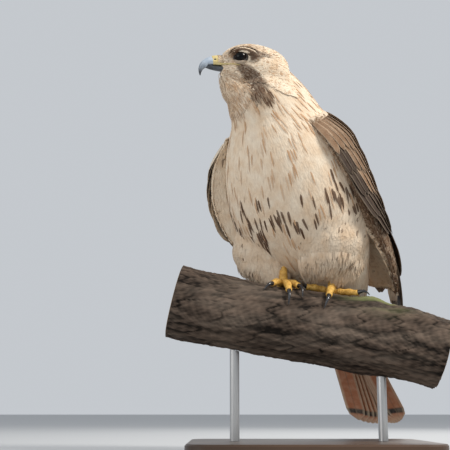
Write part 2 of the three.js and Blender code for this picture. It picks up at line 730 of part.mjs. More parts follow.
function addBird() {
  const wholeBody = bodySolid(0);
  const grownBody = bodySolid(2 * GAP);
  const rims = [lids("left").rim, lids("right").rim];
  const chin = [[-35, -16], [-31, -24], [-22, -34], [-8, -46]].map(([y, z]) => vec(0, y, z));
  const throat = tube(chin, [9, 14, 18, 18], 14);
  const wholeHead = onHead(union([headSolid(0), throat, brow("left"), brow("right"), ...rims]));
  const flesh = wholeBody.add(wholeHead);

  const collarPlace = section(BODY, 0.24);
  const down = collarPlace.ahead;
  const nape = vec(0, 0.35, -1).normalize();
  const jawPoint = vec(...HEAD_PLACE).add(vec(14, 16, -24));
  const up = down.clone().negate();
  const torsoWhole = beyond(wholeBody, down, collarPlace.centre);
  const upper = beyond(flesh, up, collarPlace.centre);
  const neck = largest(beyond(upper, nape, jawPoint));
  const headCut = largest(beyond(upper, nape.clone().negate(), jawPoint));

  const headTools = [
    eyeAt("left", EYE_RADIUS + GAP),
    eyeAt("right", EYE_RADIUS + GAP),
    lids("left").opening,
    lids("right").opening,
    billSolid(GAP),
    lowerBill(GAP),
    gape("left", GAP),
    gape("right", GAP),
    slab([-40, -80, -11.5], [40, -41.5, 60]),
  ];
  const head = largest(headTools.reduce((solid, tool) => solid.subtract(onHead(tool)), headCut));

  const tailPlane = section(BODY, 0.93);
  const torso = largest(
    torsoWhole.trimByPlane(tailPlane.ahead.clone().negate().toArray(), -tailPlane.ahead.dot(tailPlane.centre))
      .subtract(perchInBird)
      .subtract(thighSolid("left", THIGH_GAP))
      .subtract(thighSolid("right", THIGH_GAP)),
  );
  const thighs = { left: clearOf(thighSolid("left", 0), perchInBird) };
  const grownThighs = { left: thighSolid("left", THIGH_GAP), right: thighSolid("right", THIGH_GAP) };
  thighs.right = clearOf(thighSolid("right", 0), perchInBird, grownThighs.left);
  const tail = clearOf(tailSolid(), grownBody.trimByPlane(
    tailPlane.ahead.clone().negate().toArray(), -tailPlane.ahead.dot(tailPlane.centre) - GAP));

  birdFrame.add(
    meshOf("head", head, "pale_feathers"),
    meshOf("neck", neck, "pale_feathers"),
    meshOf("torso", torso, "pale_feathers"),
    meshOf("tail", tail, "tail_feathers"),
  );
  for (const side of ["left", "right"]) {
    const wing = clearOf(wingSolid(side), grownBody, grownThighs[side], perchInBird);
    const line = shankLine(side);
    const shankRadii = [6.2, 5, 4.8, 5];
    const otherToe = clearOf(tube(line, shankRadii, 10), grownThighs[side], grownBody, perchInBird);
    const grownShank = tube(line, shankRadii.map((r) => r + GAP), 10);
    const cuts = Object.fromEntries(TOES.map((toe) => [toe, clawCut(side, toe)]));
    let foot = footSolid(side).subtract(perchInBird);
    for (const toe of TOES) {
      const { normal, offset } = cuts[toe];
      const stub = clawSolid(side, toe).trimByPlane(normal, offset + GAP).subtract(perchInBird);
      const tip = toeSolid(side, toe, 2 * GAP).trimByPlane(normal, offset - GAP / 2);
      foot = foot.subtract(tip);
      birdFrame.add(meshOf(`claw_${side}_${toe}`, largest(stub), "horn"));
    }
    birdFrame.add(
      meshOf(`wing_${side}`, wing, "wing_feathers"),
      meshOf(`thigh_${side}`, thighs[side], "pale_feathers"),
      meshOf(`shank_${side}`, otherToe, "foot_skin"),
      meshOf(`foot_${side}`, clearOf(foot, grownShank, grownThighs[side]), "foot_skin"),
      meshOf(`eye_${side}`, onHead(eyeAt(side, EYE_RADIUS)), "eye"),
    );
  }
  addBill();
}

function addBill() {
  const mouth = slab([-40, -90, MOUTH_HEIGHT - 40], [40, -30, MOUTH_HEIGHT - GAP / 2]);
  const front = slab([-40, -90, -60], [40, CERE_END - GAP / 2, 60]);
  const rear = slab([-40, CERE_END + GAP / 2, -60], [40, 0, 60]);
  const hook = slab([-40, -90, -60], [40, -63.4, 60]);
  const bill = billSolid(0);
  const flat = bill.subtract(mouth).add(bill.intersect(hook));
  const nostril = (s) => ellipsoid([s * 7.4, -46.6, 3.4], [2.2, 1.9, 1.5], 8, 6);
  const upper = largest(flat.intersect(front));
  const cere = flat.intersect(rear).add(gape("left", 0)).add(gape("right", 0));
  const holed = largest(cere.subtract(nostril(1)).subtract(nostril(-1)));
  const lowerTools = [billSolid(GAP).subtract(mouth), gape("left", GAP), gape("right", GAP), upper];
  const lower = largest(lowerTools.reduce((solid, tool) => solid.subtract(tool), lowerBill(0)));
  birdFrame.add(
    meshOf("bill_upper", onHead(upper), "horn"),
    meshOf("cere", onHead(holed), "cere"),
    meshOf("bill_lower", onHead(lower), "horn"),
  );
}

function addStand(root) {
  const [wide, deep, high] = BASE_SIZE;
  const [x, y, r] = [wide / 2 - BASE_BEVEL, deep / 2 - BASE_BEVEL, BASE_CORNER];
  const outline = new THREE.Shape();
  outline.absarc(x - r, y - r, r, 0, Math.PI / 2);
  outline.absarc(r - x, y - r, r, Math.PI / 2, Math.PI);
  outline.absarc(r - x, r - y, r, Math.PI, 1.5 * Math.PI);
  outline.absarc(x - r, r - y, r, 1.5 * Math.PI, 2 * Math.PI);
  const base = new THREE.ExtrudeGeometry(outline, {
    depth: high - 2 * BASE_BEVEL,
    bevelSize: BASE_BEVEL,
    bevelThickness: BASE_BEVEL,
    bevelSegments: 1,
    curveSegments: 5,
  });
  base.translate(0, 0, BASE_BEVEL);
  root.add(meshOf("stand_base", solidFrom(base), "stand_base"));
  const grownPerch = perchSolid(GAP);
  for (const [side, place] of Object.entries(ROD_PLACES)) {
    const top = perchHeight(place);
    const rod = new THREE.CylinderGeometry(ROD_RADIUS, ROD_RADIUS, top - high - GAP, 16);
    rod.rotateX(Math.PI / 2);
    rod.translate(place, 0, (top + high + GAP) / 2);
    root.add(meshOf(`stand_rod_${side}`, largest(solidFrom(rod).subtract(grownPerch)), "stand_rod"));
  }
  root.add(meshOf("perch", perchSolid(0), "bark"));
}

const hawk = new THREE.Group();
addStand(hawk);
addBird();
hawk.add(birdFrame);
hawk.updateMatrixWorld(true);

export default hawk;
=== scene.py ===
"""The looks of a perched red tailed hawk on its display stand, in metres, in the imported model's frame."""

import math
from functools import partial

import bpy
import numpy as np
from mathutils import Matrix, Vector
from mathutils.bvhtree import BVHTree


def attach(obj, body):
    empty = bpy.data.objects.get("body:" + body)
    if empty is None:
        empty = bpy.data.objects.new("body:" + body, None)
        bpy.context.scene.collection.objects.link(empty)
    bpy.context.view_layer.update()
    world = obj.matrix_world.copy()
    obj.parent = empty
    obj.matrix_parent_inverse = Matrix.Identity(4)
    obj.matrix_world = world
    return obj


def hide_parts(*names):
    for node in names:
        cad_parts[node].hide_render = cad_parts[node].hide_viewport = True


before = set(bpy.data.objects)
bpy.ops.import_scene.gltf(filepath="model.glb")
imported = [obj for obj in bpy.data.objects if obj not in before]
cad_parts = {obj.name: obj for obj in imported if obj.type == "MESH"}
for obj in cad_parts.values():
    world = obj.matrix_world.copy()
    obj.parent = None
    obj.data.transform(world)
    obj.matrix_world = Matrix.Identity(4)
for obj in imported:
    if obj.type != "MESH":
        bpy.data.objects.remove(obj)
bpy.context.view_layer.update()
rng = np.random.default_rng(7)
MM = 0.001
X, Y, Z = np.eye(3)

# Sizes shared with the CAD model, in millimetres and degrees
PERCH_TOP = 205
PERCH_RADIUS = 46
PERCH_LENGTH = 336
PERCH_SLOPE = 0.15
PERCH_BEND = 0.0003
BIRD_TURN = 40
BIRD_PLACE = (-19, 8)
HEAD_PLACE = (2, -77, 284)
HEAD_TURN = 38
HEAD_ROLL = 10
HEAD_PITCH = -1
EYE_RADIUS = 8.8
EYE_PLACE = (18.8, -21.5, 5.5)
TAIL_LENGTH = 226
TAIL_ROOT = (0, 88, 12)
TAIL_TILT = 38

# Body, and chin in the head's frame: y, z, half width, depth in front, depth behind
BODY = [
    [-76, 279, 37, 45, 30], [-57, 260, 48, 56, 41], [-32, 232, 62, 64, 50], [-13, 194, 83, 75, 56],
    [4, 152, 95, 81, 58], [22, 113, 98, 81, 57], [41, 78, 92, 70, 53], [63, 44, 79, 50, 46],
    [86, 11, 64, 34, 36], [108, -19, 44, 18, 20],
]
CHIN = [
    [-44, -13, 5, 3, 4], [-38, -18, 10, 8, 8.5], [-31, -24, 14, 14, 14], [-22, -34, 18, 18, 18],
    [-8, -46, 18, 18, 18],
]
# Head, in its own frame: y, z, half width, height above and below
HEAD = [
    [-44, 1, 8, 9, 9], [-38, 1.5, 14, 15.5, 15], [-29, 2, 19.5, 21, 20.5], [-17, 2, 24.5, 25, 27],
    [-3, 1, 28, 27, 33], [12, -3, 31, 29, 38], [27, -9, 33, 30, 38], [39, -17, 31, 28, 31],
]
# Bill, in the head's frame: y, z, half width, half height
BILL = [
    [-36, 1, 8.4, 9], [-41, 1, 8, 8.6], [-49, 1.2, 7.6, 8], [-56, 0.4, 6.4, 7.2], [-62, -1.6, 5, 5.8],
    [-66.5, -5, 3.5, 4.4], [-69, -9.6, 2.2, 3], [-69.6, -14.4, 1.1, 1.6], [-69.2, -18, 0.35, 0.5],
]
# Folded wing: y, z, half width, depth, squareness
WING = [
    [-28, 218, 76, 52, 2], [-13, 191, 100, 60, 2.05], [4, 152, 112, 62, 2.15], [22, 113, 116, 64, 2.3],
    [42, 79, 115, 65, 2.4], [65, 45, 111, 65, 2.45], [89, 12, 103, 59, 2.45], [113, -19, 90, 51, 2.4],
    [137, -49, 74, 42, 2.4], [161, -79, 59, 33, 2.3], [184, -108, 46, 26, 2.2],
]
WING_WIDTH = {
    1: [0.98, 0.95, 0.94, 0.94, 0.96, 0.99, 1.02, 1.05, 1.06, 1.03, 1],
    -1: [1.1, 1.16, 1.2, 1.16, 1.11, 1.08, 1.06, 1.04, 1.02, 1, 1],
}
WING_FRONT = [62, 64, 78, 90, 95, 99, 103, 108]
WING_BACK = [166, 171, 172, 171, 166, 156, 146]
WING_THICK = [5, 22, 26, 24, 16, 9, 5]
# Thighs: x, y, z, radius
THIGHS = {
    1: [
        [44, 32, 116, 31], [49, 24, 90, 40], [49, 22, 62, 42],
        [44, 24, 42, 36], [37, 27, 31, 27], [32, 29, 25, 16],
    ],
    -1: [
        [-44, 28, 114, 31], [-50, 16, 88, 41], [-51, 9, 60, 43],
        [-48, 6, 41, 38], [-39, 3, 28, 29], [-28, -2, 18, 18],
    ],
}
# Each foot: its place along the perch and its turn round it, in radians
FEET = {1: (25, -0.27), -1: (-37, -0.2)}
# Each toe: its way, its length, and the way in which its claw ends
TOES = {
    1: {"inner": (-72, 35, -10), "middle": (-8, 46, -16), "outer": (58, 37, 70), "hind": (190, 30, 190)},
    -1: {"inner": (34, 33, 12), "middle": (8, 45, 4), "outer": (-26, 37, -40), "hind": (172, 30, 172)},
}
CLAW_LENGTHS = {"inner": 25, "middle": 23, "outer": 18, "hind": 27}
TOE_RADIUS = {"inner": 5, "middle": 4.8, "outer": 4.5, "hind": 5}
SIDES = {1: "left", -1: "right"}


# Curves and surfaces. A place may be an array.
def spaced(count):
    return np.linspace(0, 1, count)


def full_turn(count):
    return 2 * np.pi * np.arange(count) / count


def circle(count):
    return np.sin(full_turn(count)), np.cos(full_turn(count))


def rise(value, start, width):
    """From 0 at start to 1 past a width."""
    return np.clip((value - start) / width, 0, 1)


def hump(*parts):
    """1 at its middle. Each part is a value, its middle and its half width."""
    return np.exp(-sum(((value - middle) / width) ** 2 for value, middle, width in parts))


def along(rows, place):
    """A smooth curve through the rows of a table."""
    rows = np.asarray(rows, float)
    if rows.ndim == 1:
        rows = rows[:, None]
    last = len(rows) - 1
    at = np.clip(np.asarray(place, float), 0, 1) * last
    i = np.minimum(np.floor(at).astype(int), last - 1)
    f = (at - i)[..., None]
    a, b, c, d = (rows[np.clip(i + k, 0, last)] for k in (-1, 0, 1, 2))
    return b + 0.5 * f * (c - a + f * (2 * a - 5 * b + 4 * c - d + f * (3 * (b - c) + d - a)))


def unit(v):
    return v / np.maximum(np.linalg.norm(v, axis=-1, keepdims=True), 1e-9)


def sin_cos(degrees):
    return np.sin(np.radians(degrees)), np.cos(np.radians(degrees))


def xyz(*parts):
    return np.stack(np.broadcast_arrays(*parts), -1)


def section(rows, place):
    """Middle, backward direction and sizes."""
    place = np.asarray(place)
    here = along(rows, place)
    step = along(rows, place + 0.01) - along(rows, place - 0.01)
    ahead = unit(xyz(0, step[..., 0], step[..., 1]))
    return xyz(0, here[..., 0], here[..., 1]), xyz(0, -ahead[..., 2], ahead[..., 1]), here[..., 2:]


def ring_point(rows, place, turn, grow):
    centre, back, sizes = section(rows, place)
    s, c = sin_cos(turn)
    deep = np.where(c < 0, sizes[..., 2], sizes[..., 1]) + grow
    return centre + X * ((sizes[..., 0] + grow) * s)[..., None] - back * (deep * c)[..., None]


def body_point(place, turn, grow=0):
    """The plumage of the trunk. Its upper end is drawn in below the head."""
    return ring_point(BODY, place, turn, grow - 26 * np.clip(1 - place / 0.09, 0, 1) ** 2.5)


def chin_point(place, turn, grow=0):
    return on_head(ring_point(CHIN, place, turn, grow))


def head_point(place, turn, grow=0):
    y, z, wide, above, below = np.moveaxis(along(HEAD, place), -1, 0)
    s, c = sin_cos(turn)
    return on_head(xyz((wide + grow) * s, y, z + (np.where(c > 0, above, below) + grow) * c))


def turned(axis, degrees):
    c, s = math.cos(math.radians(degrees)), math.sin(math.radians(degrees))
    i, j = [(1, 2), (2, 0), (0, 1)][axis]
    m = np.eye(3)
    m[i, i] = m[j, j] = c
    m[i, j], m[j, i] = -s, s
    return m


HEAD_MATRIX = turned(2, -HEAD_TURN) @ turned(0, HEAD_PITCH) @ turned(1, HEAD_ROLL)
BIRD_MATRIX = turned(2, -BIRD_TURN)


# From the head's frame to the bird's, from the bird's to the row's, and back
def on_head(p):
    return np.asarray(p) @ HEAD_MATRIX.T + np.array(HEAD_PLACE)


def to_head(p):
    return (np.asarray(p) - HEAD_PLACE) @ HEAD_MATRIX


def to_row(p):
    return np.asarray(p) @ BIRD_MATRIX.T + np.array([*BIRD_PLACE, PERCH_TOP])


def to_bird(p):
    return (np.asarray(p) - np.array([*BIRD_PLACE, PERCH_TOP])) @ BIRD_MATRIX


def eye_centre(side):
    return np.array(EYE_PLACE) * [side, 1, 1]


def wing_place(side, place, turn, lift=0):
    """Points of the folded wing's outer face, lifted off it, and its outward directions."""
    centre, back, sizes = section(WING, place)
    s, c = sin_cos(turn)
    wide, deep, square = (sizes[..., k] for k in range(3))
    power = 2 / square
    x = along(WING_WIDTH[side], place)[..., 0] * wide * np.abs(s) ** power
    d = deep * np.sign(-c) * np.abs(c) ** power
    out = unit(X * (side * s * deep)[..., None] - back * (c * wide)[..., None])
    at = centre + X * (side * x)[..., None] + back * d[..., None]
    return at + out * np.asarray(lift)[..., None], out


def thigh_point(side, place, turn, grow=0):
    rows = along(THIGHS[side], place)
    s, c = sin_cos(turn)
    return rows[..., :3] + xyz(s * side, -c, 0) * (rows[..., 3] + grow)[..., None]


def skirt_point(side, place, turn):
    """The lower half of a thigh."""
    return thigh_point(side, 0.5 + 0.5 * place, turn)


def perch_height(x):
    return PERCH_TOP - PERCH_RADIUS - PERCH_SLOPE * x - PERCH_BEND * x * np.abs(x)


def perch_radius(x, turn):
    swell = 1.4 * np.sin(x / 31 + 2 * turn) + 0.9 * np.sin(x / 17 - 3 * turn + 1)
    away = np.minimum(1, np.abs(x + 6) / 70)
    knot = 7.5 * hump((x, 74, 17), (turn, 0.25, 0.6))
    collar = 5 * hump((x, 118, 34), (turn, 0.5, 0.5))
    return PERCH_RADIUS + swell * away + knot + collar


def on_perch(x, turn, lift):
    fall = PERCH_SLOPE + 2 * PERCH_BEND * np.abs(x)
    up = unit(xyz(fall, 0, 1))
    reach = (perch_radius(x, turn) + lift)[..., None]
    middle = xyz(x, 0, perch_height(x))
    return middle + up * reach * np.cos(turn)[..., None] - Y * reach * np.sin(turn)[..., None]


def bark_point(side, sideways, forward, lift):
    """A point above the bark, at a distance from a foot along the perch and round it."""
    x, turn = FEET[side]
    return on_perch(x + sideways, turn + forward / PERCH_RADIUS, lift)


# Meshes
def new_object(name, data):
    piece = bpy.data.objects.new(name, data)
    bpy.context.scene.collection.objects.link(piece)
    return piece


def add_mesh(name, shape, material, attributes=None, uv=None, node=(), smooth=True, placed=to_row):
    """shape holds faces and points in millimetres, which placed takes to the row's frame."""
    points, faces = placed(shape[0]), shape[1]
    mesh = bpy.data.meshes.new(name)
    mesh.vertices.add(len(points))
    mesh.vertices.foreach_set("co", (points * MM).astype(np.float32).ravel())
    mesh.loops.add(faces.size)
    mesh.loops.foreach_set("vertex_index", faces.astype(np.int32).ravel())
    mesh.polygons.add(len(faces))
    mesh.polygons.foreach_set("loop_start", np.arange(0, faces.size, faces.shape[1], dtype=np.int32))
    mesh.polygons.foreach_set("use_smooth", np.full(len(faces), smooth))
    mesh.update(calc_edges=True)
    for key, values in (attributes or {}).items():
        layer = mesh.attributes.new(key, "FLOAT", "POINT")
        layer.data.foreach_set("value", np.asarray(values, np.float32).ravel())
    if uv is not None:
        layer = mesh.uv_layers.new(name="OFBake")
        layer.data.foreach_set("uv", np.asarray(uv, np.float32)[faces.ravel()].ravel())
    mesh.validate()
    piece = new_object(name, mesh)
    mesh.materials.append(material)
    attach(piece, "root")
    if node:
        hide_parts(*node)
    return piece


def grid_faces(rings, count):
    r, i = np.meshgrid(np.arange(rings - 1), np.arange(count), indexing="ij")
    a, b = r * count + i, r * count + (i + 1) % count
    return np.stack([a, b, b + count, a + count], -1).reshape(-1, 4)


def loft(rings):
    """Points and quads of a closed skin over rings, with its ends drawn to a point."""
    first, last = (np.broadcast_to(rings[k].mean(0), rings[k].shape) for k in (0, -1))
    full = np.concatenate([first[None], rings, last[None]])
    return full.reshape(-1, 3), grid_faces(len(full), full.shape[1])


def with_ends(values):
    """One value for each point of a loft, from a grid with one for each point of its rings."""
    return np.concatenate([values[:1], values, values[-1:]]).ravel()


def tube(points, radii, sides=16):
    """Rings round a line. radii holds one number or an (across, up) pair for each point."""
    points = np.asarray(points, float)
    ahead = unit(np.gradient(points, axis=0))
    level = Y if abs(unit(points[-1] - points[0])[2]) > 0.6 else Z
    across = unit(np.cross(ahead, level))
    over = np.cross(across, ahead)
    if radii.ndim == 1:
        radii = np.stack([radii, radii], -1)
    s, c = circle(sides)
    spread = across[:, None] * (radii[:, :1] * c)[..., None]
    return points[:, None] + spread + over[:, None] * (radii[:, 1:] * s)[..., None]


def join(parts):
    points, faces, start = [], [], 0
    for p, f in parts:
        points.append(p)
        faces.append(f + start)
        start += len(p)
    return np.concatenate(points), np.concatenate(faces)


def noise(p, scale, seed):
    """Smooth noise, mostly from -1 to 1, as a sum of turned waves."""
    p = p / scale
    draw = np.random.default_rng(seed)
    total = 0
    for _ in range(7):
        way = unit(draw.normal(size=3))
        total = total + np.sin(p @ way * draw.uniform(1.5, 4.5) + draw.uniform(0, 6.28))
    return total / 4


# Materials
class Look:
    """A procedural material. A value is a number, a colour or another node's socket."""

    def __init__(self, name, roughness, **inputs):
        self.material = bpy.data.materials.new(name)
        self.material.use_nodes = True
        self.tree = self.material.node_tree
        self.surface = self.tree.nodes["Principled BSDF"]
        for key, value in {"Roughness": roughness, **inputs}.items():
            self.surface.inputs[key.replace("_", " ")].default_value = value

    def add(self, kind, inputs, output=0, **settings):
        node = self.tree.nodes.new(f"ShaderNode{kind}")
        for key, value in settings.items():
            setattr(node, key, value)
        for key, value in inputs.items():
            if isinstance(value, bpy.types.NodeSocket):
                self.tree.links.new(value, node.inputs[key])
            else:
                node.inputs[key].default_value = value
        return node.outputs[output]

    def read(self, name):
        return self.add("Attribute", {}, "Fac", attribute_name=name)

    def maths(self, operation, a, b=0):
        return self.add("Math", {0: a, 1: b}, operation=operation)

    def times(self, a, b):
        return self.maths("MULTIPLY", a, b)

    def ramp(self, value, low, high):
        return self.add("MapRange", {"Value": value, "From Min": low, "From Max": high})

    def blend(self, factor, a, b):
        a, b = ((*v, 1) if isinstance(v, tuple) else v for v in (a, b))
        return self.add("Mix", {0: factor, 6: a, 7: b}, 2, data_type="RGBA")

    def where(self, stretch=(1, 1, 1)):
        place = self.add("TexCoord", {}, "Object")
        return self.add("Mapping", {"Vector": place, "Scale": stretch})

    def noise(self, scale, detail=4, stretch=(1, 1, 1)):
        return self.add("TexNoise", {"Vector": self.where(stretch), "Scale": scale, "Detail": detail}, "Fac")

    def finish(self, colour, height=None, distance=0, strength=0):
        """Sets the colour, and a relief where a height is given."""
        self.tree.links.new(colour, self.surface.inputs["Base Color"])
        if height is not None:
            bump = self.add("Bump", {"Height": height, "Distance": distance, "Strength": strength})
            self.tree.links.new(bump, self.surface.inputs["Normal"])
        return self.material


CREAM = (0.88, 0.76, 0.6)
BUFF = (0.78, 0.6, 0.42)
DULL_BUFF = (0.54, 0.42, 0.3)
FAWN = (0.26, 0.155, 0.09)
RUST = (0.46, 0.25, 0.12)
BRICK = (0.36, 0.115, 0.045)
BROWN = (0.2, 0.115, 0.062)
SHAFT_BROWN = (0.16, 0.1, 0.06)
DARK_BROWN = (0.085, 0.05, 0.03)
UMBER = (0.078, 0.037, 0.02)
INK = (0.022, 0.017, 0.016)


def feather_material(name):
    """Reads shade (brown ground, partly painted shade), warm (rust) and mark (dark brown, partly painted
    shadow) from the feathers.
    """
    look = Look(name, 0.75, Sheen_Weight=0.02, Specular_IOR_Level=0.08)
    colour = look.blend(look.ramp(look.noise(60), 0.35, 0.7), CREAM, BUFF)
    for attribute, other in (("shade", BROWN), ("warm", RUST), ("mark", UMBER)):
        colour = look.blend(look.read(attribute), colour, other)
    barbs = look.add("TexWave", {"Vector": look.where(), "Scale": 900, "Distortion": 6}, "Fac")
    return look.finish(colour, barbs, 0.0001, 0.1)


def vane_material(name):
    """Reads along, across, tone (0 pale to 1 dark), red, band, bars and edge from the large feathers."""
    look = Look(name, 0.6, Specular_IOR_Level=0.2)
    tone, place = look.read("tone"), look.read("along")
    across = look.maths("ABSOLUTE", look.read("across"))
    bars = look.ramp(look.maths("SINE", look.times(place, 42)), 0.2, 0.8)
    band = look.times(look.ramp(place, 0.885, 0.9), look.ramp(place, 0.945, 0.93))
    rim = look.maths("MAXIMUM", look.ramp(across, 0.66, 0.9), look.ramp(place, 0.93, 1))
    fleck = look.maths("SUBTRACT", 0.25, look.times(tone, 0.24))
    layers = [
        (look.ramp(tone, 0.45, 0.8), DARK_BROWN),
        (look.ramp(tone, 0.75, 1), INK),
        (look.read("red"), BRICK),
        (look.times(bars, look.read("bars")), UMBER),
        (look.times(band, look.read("band")), INK),
        (look.times(rim, look.read("edge")), DULL_BUFF),
        (look.times(look.ramp(across, 0.07, 0.03), 0.55), SHAFT_BROWN),
        (look.times(look.ramp(look.noise(120), 0.4, 0.75), fleck), BUFF),
    ]
    colour = look.blend(look.ramp(tone, 0, 0.45), CREAM, FAWN)
    for factor, other in layers:
        colour = look.blend(factor, colour, other)
    barbs = look.maths("SINE", look.maths("ADD", look.times(place, 520), look.times(across, 38)))
    return look.finish(colour, barbs, 0.00015, 0.5)


def skin_like(name, dark, light, scale, roughness, depth, specular=0.5):
    look = Look(name, roughness, Specular_IOR_Level=specular)
    colour = look.blend(look.ramp(look.noise(scale, 6), 0.3, 0.7), dark, light)
    cells = look.add("TexVoronoi", {"Vector": look.where(), "Scale": scale * 5}, "Distance")
    return look.finish(colour, cells, depth, 0.6)


coat_material = feather_material("small_feathers")
wing_material = vane_material("large_feathers")
skin_material = feather_material("skin_under_feathers")
foot_material = skin_like("foot_skin", (0.5, 0.25, 0.035), (0.8, 0.5, 0.12), 240, 0.5, 0.0006)
cere_material = skin_like("cere_skin", (0.52, 0.39, 0.13), (0.72, 0.61, 0.31), 120, 0.42, 0.0001)
claw_material = skin_like("claw_horn", (0.008, 0.008, 0.01), (0.03, 0.03, 0.034), 60, 0.22, 0.00003, 0.7)
lower_material = skin_like("lower_bill_horn", (0.03, 0.034, 0.04), (0.1, 0.11, 0.125), 90, 0.3, 0.00003)

look = Look("upper_bill_horn", 0.25)
pale = look.blend(look.ramp(look.noise(90, 5, (1, 1, 3)), 0.3, 0.7), (0.3, 0.37, 0.46), (0.5, 0.56, 0.63))
colour = look.blend(look.ramp(look.read("tip"), 0.3, 0.8), pale, (0.035, 0.037, 0.043))
horn_material = look.finish(colour, look.noise(500, 2), 0.00004, 0.4)

look = Look("eye", 0.03, Specular_IOR_Level=0.14, Coat_Weight=0.04, Coat_Roughness=0.02)
iris = look.blend(look.ramp(look.noise(700, 3), 0.3, 0.7), (0.004, 0.002, 0.0015), (0.01, 0.005, 0.003))
eye_material = look.finish(look.blend(look.ramp(look.read("axis"), 0.86, 0.88), iris, (0.002, 0.002, 0.003)))

# Lids: mark blends them to ink, a dark lid rim with painted shade.
look = Look("lids", 0.6)
grain = look.noise(300)
pale = look.blend(grain, (0.36, 0.28, 0.2), (0.56, 0.45, 0.34))
lid_material = look.finish(look.blend(look.read("mark"), pale, INK), grain, 0.0001, 0.4)

look = Look("bark", 0.92, Specular_IOR_Level=0.15)
# The bark is painted near black low down in its cracks and paler on its ridges: painted shade in the
# recesses.
colour = look.blend(look.ramp(look.read("height"), -0.7, 0.8), (0.012, 0.009, 0.007), (0.125, 0.09, 0.068))
scales = look.ramp(look.noise(45, 8, (0.35, 1, 1)), 0.45, 0.8)
colour = look.blend(look.times(scales, 0.4), colour, (0.3, 0.24, 0.19))
colour = look.blend(look.times(look.ramp(look.noise(9), 0.5, 0.8), 0.3), colour, (0.16, 0.12, 0.09))
colour = look.blend(look.times(look.read("lichen"), 0.7), colour, (0.27, 0.3, 0.12))
bark_material = look.finish(colour, look.noise(320, 9, (0.4, 1, 1)), 0.0012, 0.8)

look = Look("cut_wood", 0.8)
wander = look.times(look.noise(30), 0.06)
years = look.maths("SINE", look.times(look.maths("ADD", look.read("radius"), wander), 95))
colour = look.blend(look.ramp(years, -0.6, 0.9), (0.36, 0.23, 0.12), (0.52, 0.36, 0.21))
colour = look.blend(look.ramp(look.noise(26, 7), 0.5, 0.75), colour, (0.2, 0.13, 0.08))
grain_material = look.finish(colour, years, 0.0002, 0.5)

look = Look("stand_wood", 0.38)
bands = look.ramp(look.noise(14, 6, (0.12, 1, 1)), 0.35, 0.65)
colour = look.blend(bands, (0.026, 0.014, 0.008), (0.085, 0.045, 0.024))
wood_material = look.finish(colour, look.noise(160, 4, (0.05, 1, 1)), 0.00008, 0.4)

look = Look("stand_metal", 0.34, Metallic=1)
brush = look.noise(700, 2, (1, 1, 0.02))
colour = look.blend(brush, (0.4, 0.4, 0.4), (0.6, 0.6, 0.59))
metal_material = look.finish(colour, brush, 0.00003, 0.3)

# Skin under the feathers: one closed piece. It lies below the plumage that the CAD model shows.
COAT = 3.2
HEAD_COAT = 1.6
CHIN_COAT = 2
BROW_COAT = 1
BROW = [[12.5, -37, 9.5], [20, -29, 13], [24.5, -20, 14.2], [26.5, -9, 12.2], [26, 1, 8.5]]
BROW_RADIUS = [2.5, 4.6, 5, 4.4, 2]


def even(function, rings, sides, grow):
    place, turn = np.meshgrid(spaced(rings), 360 * np.arange(sides) / sides, indexing="ij")
    return function(place, turn, grow=grow)


def brow_line(side):
    """The bony ridge over an eye, in the head's frame, and the radius of its skin."""
    return along(BROW, spaced(17)) * np.array([side, 1, 1]), along(BROW_RADIUS, spaced(17))[:, 0] - BROW_COAT


def brow_point(side, place, turn):
    line, radius = brow_line(side)
    middle = np.stack([np.interp(place, spaced(17), line[:, k]) for k in range(3)], -1)
    s, c = sin_cos(turn)
    return on_head(middle + xyz(side * s, 0, c) * np.interp(place, spaced(17), radius)[:, None])


def surface_of(piece):
    """A function for the nearest points of a piece and its normals, in the bird's frame."""
    bpy.context.view_layer.update()
    tree = BVHTree.FromObject(piece, bpy.context.evaluated_depsgraph_get())

    def nearest(points):
        at, out = np.empty_like(points), np.empty_like(points)
        for i, p in enumerate(to_row(points) * MM):
            at[i], out[i] = tree.find_nearest(Vector(p))[:2]
        return to_bird(at / MM), out @ BIRD_MATRIX

    return nearest


flesh = join([
    loft(even(body_point, 60, 90, -COAT)),
    loft(even(head_point, 40, 60, -HEAD_COAT)),
    loft(even(chin_point, 16, 40, -CHIN_COAT)),
    *[loft(on_head(tube(*brow_line(side)))) for side in SIDES],
    *[loft(even(partial(thigh_point, side), 30, 48, -COAT)) for side in SIDES],
])
skin_nodes = ("head", "neck", "torso", "thigh_left", "thigh_right")
skin = add_mesh("skin", flesh, skin_material, node=skin_nodes)
remesh = skin.modifiers.new("remesh", "REMESH")
remesh.mode = "VOXEL"
remesh.voxel_size = 1.8 * MM
smooth = skin.modifiers.new("smooth", "SMOOTH")
smooth.factor = 0.5
smooth.iterations = 30
skin_mesh = bpy.data.meshes.new_from_object(skin.evaluated_get(bpy.context.evaluated_depsgraph_get()))
skin.modifiers.clear()
skin.data = skin_mesh
on_skin = surface_of(skin)
skin_mesh.polygons.foreach_set("use_smooth", np.ones(len(skin_mesh.polygons), bool))

# Markings of the small feathers: mark, warm and shade from 0 to 1, where some mark and shade is painted
# shade. turn is plus on the bird's left.
CHEEK_LINE = [[-27, -5, 2.5], [-19, -10, 6], [-9, -20, 8], [-1, -31, 9], [6, -38, 4]]


def cheek_mark(at):
    """The dark mark below the cheek. Its line holds y, z and half width in the head's frame."""
    local = to_head(at)
    line = along(CHEEK_LINE, spaced(25))
    away = np.hypot(local[:, 1:2] - line[:, 0], local[:, 2:3] - line[:, 1]) / line[:, 2]
    return np.clip(2.2 * (1.25 - away.min(1)), 0, 1) * (np.abs(local[:, 0]) > 8)


